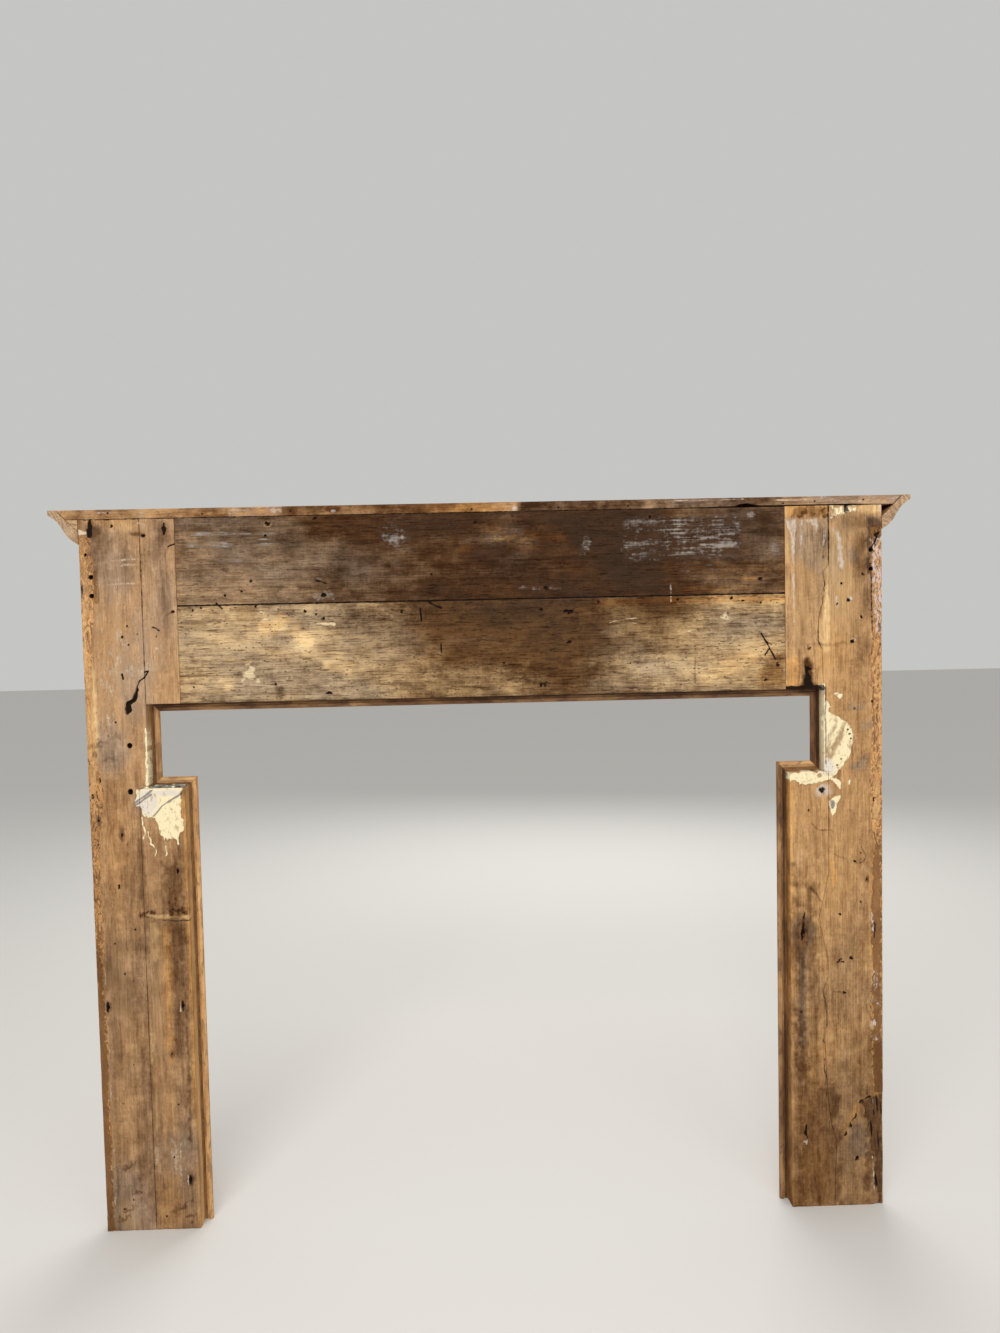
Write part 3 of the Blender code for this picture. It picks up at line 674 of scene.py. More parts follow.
    # knots, then holes, cracks, iron stains and painted shadow lines
    eye = ragged(mark["knot"], place, 0.4, 0.3, 0.45)
    swirl = ramp(grain_noise(place, 210, 210, 60, 4.0, 0.8), 0.35, 0.6)
    burr = mixed(swirl, (0.045, 0.022, 0.011, 1), (0.20, 0.095, 0.038, 1))
    colour = mixed(eye * 0.85, colour, burr)
    colour = mixed(ramp(mark["ink"], 0.05, 0.6) * 0.55, colour, (0.10, 0.055, 0.03, 1))
    ink = ragged(mark["ink"], place, 0.5, 0.14, 0.44)
    colour = mixed(ink * 0.97, colour, (0.012, 0.008, 0.006, 1))
    # plaster, yellow or bluish, with grit and sooty scratches
    lime = ragged(mark["lime"], place, 0.9, 0.06)
    coat = mixed(ramp(mark["grey"], 0.3, 0.9), (0.86, 0.74, 0.47, 1), (0.72, 0.655, 0.56, 1))
    thin = ramp(grain_noise(place, 150, 150, 80, 6.0, 0.5) - mark["lime"] * 0.25, 0.30, 0.46)
    for share, stain in ((thin * 0.8, (0.46, 0.30, 0.17, 1)),
                         (ramp(mark["soot"], 0.3, 0.75), (0.29, 0.25, 0.22, 1)),
                         (eye * 0.8, (0.30, 0.17, 0.08, 1)),
                         (speck * 0.8, (0.08, 0.06, 0.05, 1)),
                         (ink * 0.9, (0.03, 0.03, 0.035, 1))):
        coat = mixed(share, coat, stain)
    colour = mixed(lime * 0.96, colour, coat)
    # the display face was kept fair, and shows stripped pine
    calm = (fibre * 0.6 + mottle * 0.6 + tone + ring * 0.28 + 0.36).held()
    stripped = mixed(calm, (0.64, 0.365, 0.155, 1), (0.36, 0.175, 0.065, 1))
    colour = mixed(mark["fair"] * (lime * -1 + 1), colour, stripped)
    dark = ink.step("MAXIMUM", soot)
    wire(leave, {"Color": colour,
                 "Roughness": varnish * -0.25 + 0.82,
                 "Shine": (dark * -1 + 1) * (varnish * 0.3 + 0.2),
                 "Height": fibre * 0.0009 + mottle * 0.0006 + lime * 0.0008 - split * 0.0006
                 + loops * varnish * 0.0012 - ink * 0.0012})
    return tree


AGED_BOARD = aged_board()


def board_finish(name, early, late, grey, chalk, seed, level_grain=False, contrast=1.0,
                 rings=14.0, weather=0.3, dirt=0.4):
    """The material of one or more rear boards."""
    finish, tree, shader = new_finish(name)
    place = put(tree, "TexCoord", None, "Object")
    if level_grain:
        place = put(tree, "Mapping", {"Vector": place, "Rotation": (0, math.radians(90), 0)})
    board = use_group(tree, AGED_BOARD, {"Place": place, "Seed": seed, "Early Wood": early,
                                         "Late Wood": late, "Grey Wash": grey, "Chalk": chalk,
                                         "Contrast": contrast, "Rings": rings,
                                         "Weather": weather, "Dirt": dirt})
    bump = put(tree, "Bump", {"Strength": 1.0, "Distance": 1.0, "Height": board["Height"]})
    wire(shader, {"Base Color": board["Color"], "Roughness": board["Roughness"],
                  "Specular IOR Level": board["Shine"], "Normal": bump})
    return finish


left_pine = board_finish("left_leg_pine", (0.54, 0.32, 0.155, 1), (0.235, 0.118, 0.050, 1),
                         (0.43, 0.31, 0.225, 1), (0.72, 0.58, 0.42, 1), 0.0, contrast=0.8)
left_leg_edge = (np.array([0.0, 0.787, 0.7873, 1.251]), np.array([-0.606, -0.606, -0.589, -0.589]))
rear_board("rear_leg_outer_left", "jamb_board_outer_left", mark_left_side, left_pine,
           right=left_leg_edge)
# its side wall facing the opening is bared wood and varnish, painted lighter as lit
rear_board("rear_leg_inner_left", "jamb_board_inner_left", mark_left_side, left_pine,
           reveal_stain_light_and_shade={"fresh": 1.0, "honey": 0.7, "soot": 0.08, "grey": 0.0})
rear_board("rear_stile_left", "frieze_stile_left", mark_left_side, left_pine)

# Lime mortar left on top of the left step, where the surround met the hearth's brickwork:
# a rough grey skin on the board's end grain, with cream lumps and a brown rim.
MORTAR_CELL = 0.0015
MORTAR_LEFT, MORTAR_RIGHT = -0.5875, -0.5285
step_low, step_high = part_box("jamb_board_inner_left")
skin_x = np.arange(MORTAR_LEFT, MORTAR_RIGHT, MORTAR_CELL)
skin_y = np.arange(step_low.y + 0.0012, step_high.y - 0.0004, MORTAR_CELL)
across, deep = np.meshgrid(skin_x / MM, skin_y / MM)
edge = np.minimum(np.minimum(across + 588, -528 - across), (deep - deep.min()) * 1.6 + 0.6)
lumps = 2.6 + 1.3 * rough(across, deep, 11, 81) + 0.7 * rough(across, deep, 4, 82)
lumps *= np.clip(edge / 3.2, 0, 1) ** 0.6
top = np.stack([across * MM, deep * MM, step_high.z + 0.0004 + np.maximum(lumps, 0.15) * MM], -1)
under = np.stack([across * MM, deep * MM, np.full(across.shape, step_high.z + 0.0003)], -1)
quads, rim = net(*across.shape)
below = rim + across.size
sides = np.stack([rim, below, np.roll(below, -1), np.roll(rim, -1)], -1)
mortar_mesh = bpy.data.meshes.new("step_mortar")
mortar_mesh.from_pydata(np.concatenate([top.reshape(-1, 3), under.reshape(-1, 3)]).tolist(), [],
                        quads.tolist() + (quads[:, ::-1] + across.size).tolist() + sides.tolist())
mortar_finish, tree, shader = new_finish("old_mortar")
place = put(tree, "TexCoord", None, "Object")
stain = ramp(grain_noise(place, 70, 70, 70, 5.0, 0.5), 0.42, 0.56)
colour = mixed(stain, (0.075, 0.05, 0.032, 1), (0.17, 0.175, 0.155, 1))
cream = ramp(grain_noise(place, 130, 130, 130, 5.0, 0.3), 0.54, 0.62)
wire(shader, {"Base Color": mixed(cream * 0.9, colour, (0.74, 0.66, 0.50, 1)), "Roughness": 0.9})
place_piece("mortar_on_left_step", mortar_mesh, None, finish=mortar_finish)


# The right leg and its short stile: the outer and inner boards of the leg part along a
# wandering split, and the stile's torn edge stands beside the leg above. Lime drips, a
# crescent of plaster round the ear and a decayed corner at the foot.
DECAYED_CORNER = [
    (648, 190), (655, 176), (657, 160), (664, 141), (667, 110), (674, 85), (676, 40),
    (679, -4), (694, -4), (694, 205), (668, 197),
]
RIGHT_MARKS = {
    (spot, "honey"): (
        (618, 660, 90, 320, 0.35), (550, 1060, 30, 160, 0.2), (606, 1000, 70, 110, 0.4),
        (602, 618, 10, 22, 1, 0.9, 0.6, 10), (608, 606, 10, 22, 1, 0.9, 0.6, 10),
        (605, 592, 10, 22, 1, 0.9, 0.6, 10),
    ),
    (spot, "fresh"): (
        (615, 640, 60, 240, 0.25), (548, 1100, 30, 150, 0.3), (622, 1140, 60, 240, 0.4),
        (679, 412, 12, 40, 0.9, 0.7, 0.6), (675, 374, 14, 14, 0.9, 0.7, 0.6),
        (684, 366, 11, 16, 0.9, 0.7, 0.6), (676, 330, 15, 22, 0.9, 0.7, 0.6),
        (680, 306, 14, 18, 0.9, 0.7, 0.6),
    ),
    (spot, "soot"): (
        (560, 1130, 60, 180, 0.25, 1.3), (625, 1180, 26, 120, 0.3, 1.3),
        (650, 990, 60, 70, 0.4, 1.3, 0.6), (640, 930, 60, 90, 0.3), (658, 840, 40, 160, 0.25),
        (655, 1165, 32, 100, 0.56), (662, 1085, 24, 100, 0.42), (556, 1241, 16, 8, 0.95, 1.2, 1),
        (572, 1236, 16, 8, 0.95, 1.2, 1), (590, 1244, 16, 8, 0.95, 1.2, 1),
        (548, 1234, 16, 8, 0.95, 1.2, 1), (592, 1232, 16, 8, 0.95, 1.2, 1), (640, 1222, 70, 34, 0.5),
        (588, 1200, 26, 70, 0.5), (585, 753, 15, 12, 1, 0.9, 0.7), (603, 728, 9, 16, 0.9, 0.9),
        (575, 583, 14, 18, 0.5), (549, 498, 34, 90, 0.85), (545, 488, 44, 90, 0.8),
        (616, 86, 20, 12, 0.7, 1),
    ),
    (spot, "grey"): (
        (648, 900, 26, 16, 0.9, 1.3, 0.9), (664, 866, 22, 14, 0.9, 1.3, 0.9),
        (655, 798, 30, 22, 0.9, 1.3, 0.9), (640, 1168, 24, 30, 0.9, 1.3, 0.9),
        (612, 1150, 16, 60, 0.9, 1.3, 0.9), (588, 1196, 30, 80, 0.9), (560, 1200, 40, 60, 0.7),
        (596, 796, 30, 36, 0.9, 1), (549, 500, 40, 60, 1, 1),
    ),
    (spot, "knot"): (
        (683, 1198, 10, 10, 0.9, 0.8), (596, 818, 12, 20, 0.75, 1.2, 0.8), (580, 780, 10, 8, 0.9, 0.9),
        (549, 496, 20, 54, 0.9, 1),
    ),
    (spot, "bleach"): (
        (636, 1089, 9, 7, 0.8, 0.8), (643, 1017, 8, 6, 0.7, 0.8), (586, 753, 34, 22, 0.9, 1),
        (553, 121, 9, 8, 0.7, 1, 0.8), (679, 412, 7, 34, 1, 0.7, 0.6), (675, 374, 9, 8, 1, 0.7, 0.6),
        (684, 366, 6, 10, 1, 0.7, 0.6), (676, 330, 10, 16, 1, 0.7, 0.6), (680, 306, 9, 12, 1, 0.7, 0.6),
    ),
    (spot, "lime"): (
        (616, 920, 13, 9, 0.9, 0.8, 0.5), (610, 924, 8, 5, 0.9, 0.8, 0.5),
        (586, 938, 8, 7, 0.9, 0.8, 0.5), (584, 926, 7, 12, 0.9, 0.8, 0.5),
        (633, 766, 4, 12, 0.9, 0.8, 0.5), (594, 900, 9, 26, 0.9, 0.8, 0.5),
    ),
    (spot, "ink"): (
        (585, 753, 10, 8, 0.62, 1, 0.8), (631, 860, 3.4, 3.4, 1, 0.8), (634, 852, 3.4, 3.4, 1, 0.8),
        (636, 844, 3.4, 3.4, 1, 0.8), (619, 808, 3.4, 3.4, 1, 0.8), (612, 797, 3.4, 3.4, 1, 0.8),
        (546, 358, 4, 6, 0.7, 1.2, 0.8), (612, 446, 4, 3, 0.8, 1.2, 1), (618, 450, 4, 3, 0.8, 1.2, 1),
        (609, 442, 4, 3, 0.8, 1.2, 1), (621, 445, 4, 3, 0.8, 1.2, 1),
    ),
    (stroke, "ink"): (
        ([(588.5, 276, 0.6), (587, 250), (590, 222, 0.8), (590, 190, 0.4)], 1.5, 0.7, 2.4, 1.6),
        ([(584, 396, 0.5), (588, 378), (592, 350, 0.9), (592, 328, 0.5)], 1.8, 0.7, 2.4),
        ([(585, 314, 0.5), (585, 303), (589, 299, 0.4)], 1.8, 0.7, 2.4),
        # a painted shadow line where the shelf sits on the boards' tops
        ([(606, 1250.6), (692, 1252)], 1.4, 0.6, 1.8, 0.2),
        ([(598.5, 1251), (598.5, 1200), (598.5, 1149, 0.8)], 2, 0.75, 2.4, 0.4),
        # a painted shadow line along the stile's torn edge, where it stands beside the leg
        ([(588.5, 1136, 0.5), (591.5, 1114, 1.3), (589.5, 1096, 0.6), (588.5, 1090, 0.9),
         (580.5, 1054, 0.5), (579.5, 1016, 0.9), (586, 1003, 0.4)], 2, 0.6, 2.4, 0.8),
        ([(673, 1177, 0.6), (680, 1188), (687, 1203, 0.6)], 3, 0.8),
        ([(673, 1136, 0.8), (674, 1080), (675, 1030, 0.6)], 2.2, 0.7),
        ([(667, 1070), (673, 1066), (674, 1040)], 1.6, 0.7, 2.4),
        ([(561, 974, 0.5), (560, 962, 0.9), (561, 948, 1.8), (562, 936, 2.4)], 8, 0.8, 8, 2),
        ([(650, 666, 0.6), (655, 650), (662, 636, 0.8), (661, 628), (653, 622, 1.3),
         (648, 628, 0.6)], 1.6, 0.6, 2.4, 1),
        ([(552, 536, 0.2), (550, 515, 0.7), (549, 500), (548, 486, 0.6)], 5, 0.85, 4),
        ([(677, 516, 0.4), (678, 500), (677, 486, 0.4)], 3.4, 0.8, 3, 1),
        ([(554, 156, 0.2), (553, 145, 0.8), (552, 138), (555, 128, 0.5)], 5.5, 0.95, 3.4, 1.4),
        ([(668, 198, 1.4), (660, 195), (650, 188, 0.8)], 5, 0.6, 5, 2),
        ([(635.5, 155, 0.4), (641.33, 162), (642.5, 169, 0.5)], 3.2, 0.85, 3, 1.4),
        ([(630, 145, 0.4), (633.33, 149), (634, 153, 0.5)], 3.2, 0.85, 3, 1.4),
        ([(622.5, 130, 0.4), (625, 133), (625.5, 136, 0.5)], 3.2, 0.85, 3, 1.4),
        ([(633, 145, 0.4), (634.67, 147), (635, 149, 0.5)], 3.2, 0.85, 3, 1.4),
    ),
    (stroke, "honey"): (
        ([(529.5, -2), (529.5, 400), (530, 787)], 5, 1, 4),
        ([(668, 197), (655, 190, 1.2), (647, 179), (636, 163), (630, 148, 1.2),
         (622, 130, 0.8)], 13, 1, 7, 2),
        ([(682, 650, 0.7), (680, 600), (680, 480), (681, 330, 0.8), (682, 300), (684, 204)], 19, 1, 7, 2),
        ([(678, 960, 0.5), (677, 880, 0.9), (678, 800, 0.5)], 6, 0.8, 5, 2),
    ),
    (stroke, "bleach"): (
        ([(690, 1251), (690, 1232)], 4), ([(526, 1228, 0.6), (532, 1212), (536, 1190)], 4, 1, 3, 1.5),
        ([(541, 1228, 0.8), (540, 1206), (537, 1186, 0.8)], 2.4, 0.9, 3, 1.5),
        ([(536, 1190, 1.3), (537, 1130, 0.8), (538, 1050, 0.5)], 4, 1, 4),
        ([(551, 1226), (551, 1160, 0.4)], 5, 0.6, 6),
        ([(585, 1226, 0.6), (593, 1210), (589, 1180, 0.5)], 4, 0.7, 5),
        ([(605, 1212, 0.6), (617, 1196), (619, 1172), (621, 1146, 0.8)], 9, 0.8, 8, 2),
        ([(613, 1092, 0.6), (614, 1076)], 7, 0.8, 6, 1.5),
        ([(673, 532, 0.5), (674, 516), (674, 500, 0.6)], 5, 1, 3, 1),
    ),
    (stroke, "soot"): (
        ([(560, 1231), (620, 1232), (692, 1228)], 9, 0.42, 14, 2),
        ([(598, 1198), (591, 1184), (589, 1160)], 2.4, 0.8),
        ([(546, 1002, 0.7), (547, 962), (544, 940, 0.6)], 5, 0.7, 6),
        ([(560, 1011), (604, 1009), (650, 1013)], 4, 0.5, 6, 2),
        # a painted shadow gap beside the plaster strip on the ear's edge
        ([(592, 934), (591.5, 880), (592, 800)], 3, 0.9, 3, 0.8),
        ([(613, 872), (600, 850), (596, 820)], 5, 0.4, 8, 2),
        ([(542, 769), (562, 771), (584, 779), (604, 787)], 2, 0.7, 3, 2),
        ([(566, 696), (572, 688), (581, 683), (601, 682)], 2, 0.8, 2.6),
        ([(598, 740), (597, 690), (599, 640)], 2, 0.5), ([(605, 640), (616, 634), (628, 630)], 1.8, 0.7),
        ([(573, 522), (577, 510), (582, 500)], 1.6, 0.6),
        ([(549, 480, 0.9), (547, 400), (546, 320, 0.9)], 20, 0.74, 18, 2),
        ([(623, 388, 0.6), (612, 392), (603, 392, 0.6)], 5, 0.75, 5),
    ),
    (stroke, "lime"): (
        ([(588, 938, 0.8), (587.5, 860), (588, 788, 1.4)], 8, 1, 4),
        ([(672, 92, 0.5), (675, 60), (677, 18, 0.5)], 3.2, 0.8, 2.6),
    ),
    (stroke, "knot"): (
        ([(626, 872, 0.6), (617, 850, 1.2), (608, 828, 1.3), (598, 808, 0.8)], 10, 0.7, 9, 3),
        ([(612, 884, 0.6), (603, 862), (595, 838, 0.8)], 9, 0.62, 9, 4),
        ([(600, 838, 0.8), (594, 812)], 9, 0.6, 9, 4),
        ([(561, 584, 0.6), (568, 577), (574, 570, 0.7), (583, 556, 0.3)], 5, 0.85, 3, 1.5),
    ),
    (stroke, "sunk"): (
        ([(562, 583), (574, 571), (582, 557)], 2, 1.4, 2), ([(553, 150), (554, 132)], 3, 3, 2),
    ),
    (stroke, "grey"): (
        ([(549, 480), (548, 300)], 16, 0.9, 12, 2),
    ),
    (stroke, "fresh"): (
        ([(683, 762, 0.7), (682, 735), (681, 706, 0.7)], 13, 1, 6),
        ([(690, 1000), (689, 880), (690, 780)], 5, 0.8, 5, 2),
        ([(690, 420), (690, 310), (691, 240)], 4, 0.7, 4, 2),
    ),
    (patch, "honey"): (
        ([(532, 300), (596, 300), (600, 120), (604, -4), (532, -4)], 0.6, 60, 8),
        ([(530, 230), (556, 230), (566, 120), (566, -4), (530, -4)], 0.7, 30, 6),
        ([(524, 1251), (598, 1251), (598, 1232), (524, 1232)], 0.8),
        ([(524, 988), (551, 988), (549, 936), (524, 936)], 0.9, 10),
    ),
    (patch, "soot"): (
        ([(530, 620), (548, 590), (556, 480), (560, 330), (572, 240), (596, 120), (604, -6),
         (530, -6)], 0.78, 34, 8),
        ([(530, 230), (622, 220), (628, -4), (530, -4)], 0.7, 30, 8),
        ([(656, 226), (672, 226), (674, -4), (652, -4)], 0.74, 20, 6),
        ([(528, 240), (556, 226), (560, -4), (528, -4)], 0.78, 34, 4),
        ([(550, 600), (576, 590), (584, 300), (580, 200), (554, 200)], 0.6, 20, 6),
        ([(534, 1251), (598, 1251), (598, 1230), (534, 1230)], 0.66, 12, 5),
        ([(666, 1230), (694, 1232), (694, 1196), (676, 1180), (673, 1130), (664, 1130),
         (662, 1190)], 0.75, 12, 4),
        ([(550, 984), (562, 988), (572, 978), (573, 936), (548, 936), (553, 960)], 1, 12),
        (DECAYED_CORNER, 0.82, 10, 4),
        ([(674, 300), (694, 300), (694, 205), (676, 205)], 0.6),
    ),
    (patch, "fresh"): (
        ([(640, 1251), (692, 1251), (692, 1236), (644, 1238)], 0.8),
        ([(594, 1156), (598, 1140), (599, 1090), (600, 1040), (598, 990), (589, 996), (583, 1016),
         (584, 1050), (592, 1092), (594, 1116)], 0.9, 8, 2),
        ([(590, 1030), (600, 1060), (606, 1000), (602, 940), (592, 940), (588, 1000)], 0.35, 22, 4),
    ),
    (patch, "lime"): (
        ([(600, 1251), (656, 1251), (648, 1236), (622, 1234), (604, 1228)], 0.66, 12, 4),
        ([(587, 906), (592, 905), (595, 896), (611, 885), (619, 877), (628, 873), (636, 868), (640, 853),
         (639, 837), (636, 821), (629, 805), (619, 789), (605, 777), (592, 769), (573, 764), (555, 763),
         (544, 765), (536, 773), (528, 769), (528, 785), (560, 789), (577, 787), (582, 800), (586, 830),
         (584, 870)], 1, 5, 2),
        ([(620, 746), (607, 742), (595, 733), (598, 724), (603, 707), (609, 714), (613, 730)], 1, 3, 0.8),
        ([(598, 777), (610, 774), (618, 768), (617, 755), (611, 762), (604, 768)], 1, 4, 1.5),
    ),
    (patch, "bleach"): (
        ([(525, 1229), (542, 1229), (541, 1205), (537, 1180), (534, 1188), (530, 1212)], 0.62, 6),
        ([(559, 1229), (579, 1229), (580, 1212), (577, 1204), (574, 1214), (568, 1222),
         (560, 1222)], 0.85, 4, 1.5),
        ([(674, 1190), (694, 1200), (694, 1024), (680, 1030)], 0.9, 8, 4),
    ),
    (patch, "grey"): (
        ([(524, 1231), (600, 1231), (598, 1160), (584, 1130), (540, 1160), (526, 1190)], 0.9, 26, 6),
        ([(664, 1232), (694, 1232), (694, 1120), (668, 1120)], 1, 10, 4),
        ([(630, 142), (652, 152), (664, 130), (664, 92), (640, 88), (630, 104)], 1, 14, 4),
    ),
    (patch, "varnish"): (
        ([(672, 1212), (694, 1212), (694, 1022), (674, 1024), (672, 1100)], 0.9, 5),
        ([(674, 1035), (672, 940), (675, 900), (672, 820), (670, 765), (672, 700), (677, 660),
         (674, 560), (671, 500), (674, 440), (669, 380), (672, 300), (675, 210), (694, 205),
         (694, 1035)], 1, 3.5, 2.4),
    ),
    (patch, "ink"): (
        # painted shadow along the stile's foot, where it meets the head of the architrave
        ([(521, 938), (589, 938), (589, 930), (521, 930)], 0.85, 6, 1.5),
    ),
    (hole,): (
        (672.7, 1173, 6, 6, 12), (672.7, 1140, 6, 6, 12), (629, 1244, 6, 12), (683, 1198, 7, 7),
        (659, 1131), (621, 1116, 3), (633, 1086, 5, 5), (656, 1057, 3), (639, 1014, 6, 5),
        (565, 1004, 5, 5), (561, 968, 9, 7), (675, 908, 4, 5), (678, 736, 5, 6), (561, 718, 3),
        (643, 625), (643, 896, 3, 3), (653, 553, 3, 3), (616, 531, 3, 3), (614, 1080, 3),
        (616, 448, 5, 6), (636, 452, 4, 5), (623, 388, 5, 5), (645, 87, 5, 6), (653, 640, 2, 2),
        (549, 498, 5, 13, 5),
    ),
    (knot,): (
        (664, 593, 8, 13),
    ),
}

split_at, split_place = sawn_edge("jamb_board_inner_right", "right")
torn_at, torn_place = sawn_edge("frieze_stile_right", "right")


def mark_right_side(canvas):
    """Everything that time has left on the rear of the right leg and stile."""
    x, z = canvas["x"], canvas["z"]
    # broad tones: lighter above and in the middle, darker by the opening lower down
    canvas["soot"] = np.interp(z, [0, 150, 300, 450, 600, 800, 1251],
                               [0.60, 0.58, 0.46, 0.26, 0.14, 0.06, 0.0])
    canvas["soot"] *= 1 - 0.20 * np.exp(-((x - 640) / 24) ** 2) * np.clip((240 - z) / 60, 0, 1)
    canvas["soot"] += 0.08 * rough(x, z, 70, 14)
    canvas["grey"] = np.interp(z, [0, 300, 600, 900, 1251], [0.2, 0.2, 0.05, 0.05, 0.25])
    canvas["grey"] *= 1 + rough(x, z * 0.5, 60, 19)
    lay_marks(canvas, RIGHT_MARKS)
    foot = split_at < 0.3
    stroke(canvas, "ink", list(zip(split_place[foot] / MM, split_at[foot] / MM)), 1.2, 0.5, 2.4, 0.3)
    # the decayed corner, soft and stringy
    near = patch(canvas, "grey", DECAYED_CORNER, 0.5, 9, 4)
    lean = x[near] + (z[near] - 100) * 0.09
    depth = np.clip(0.5 + inside(x[near], z[near], DECAYED_CORNER) / 9, 0, 1)
    fibres = 0.5 + 0.5 * drift(lean, z[near] * 0.06, 3.2, 77)
    strands = np.clip(2.6 * drift(lean, z[near] * 0.14, 3.6, 79) - 0.8, 0, 1)
    chunks = 0.5 + 0.5 * drift(x[near], z[near], 16, 78)
    lay(canvas, "ink", near, 0.6 * depth * strands)
    lay(canvas, "bleach", near, 0.36 * depth * np.clip(fibres * 2 - 1.0, 0, 1))
    lay(canvas, "knot", near, 0.55 * depth * chunks)
    lay(canvas, "sunk", near, depth * (0.5 + 1.6 * fibres + 1.8 * chunks + 1.5 * strands))
    canvas["soot"] = np.maximum(canvas["soot"], 0.55 * np.clip(1 - z / 24, 0, 1))


right_pine = board_finish("right_leg_pine", (0.60, 0.355, 0.155, 1), (0.27, 0.132, 0.050, 1),
                          (0.37, 0.265, 0.18, 1), (0.62, 0.535, 0.45, 1), 3.7, contrast=0.85)
right_leg_edge = (np.concatenate([split_at, [0.7873, 0.9327], torn_at]),
                  np.concatenate([split_place + 0.0003, [0.589, 0.589], torn_place + 0.0003]))
rear_board("rear_leg_outer_right", "jamb_board_outer_right", mark_right_side, right_pine,
           left=right_leg_edge)
# its side wall facing the opening is varnish with painted shade, darker as in shade
rear_board("rear_leg_inner_right", "jamb_board_inner_right", mark_right_side, right_pine,
           right=(split_at, split_place), reveal_stain_light_and_shade={"honey": 1.0, "soot": 0.62})
rear_board("rear_stile_right", "frieze_stile_right", mark_right_side, right_pine,
           right=(torn_at, torn_place))


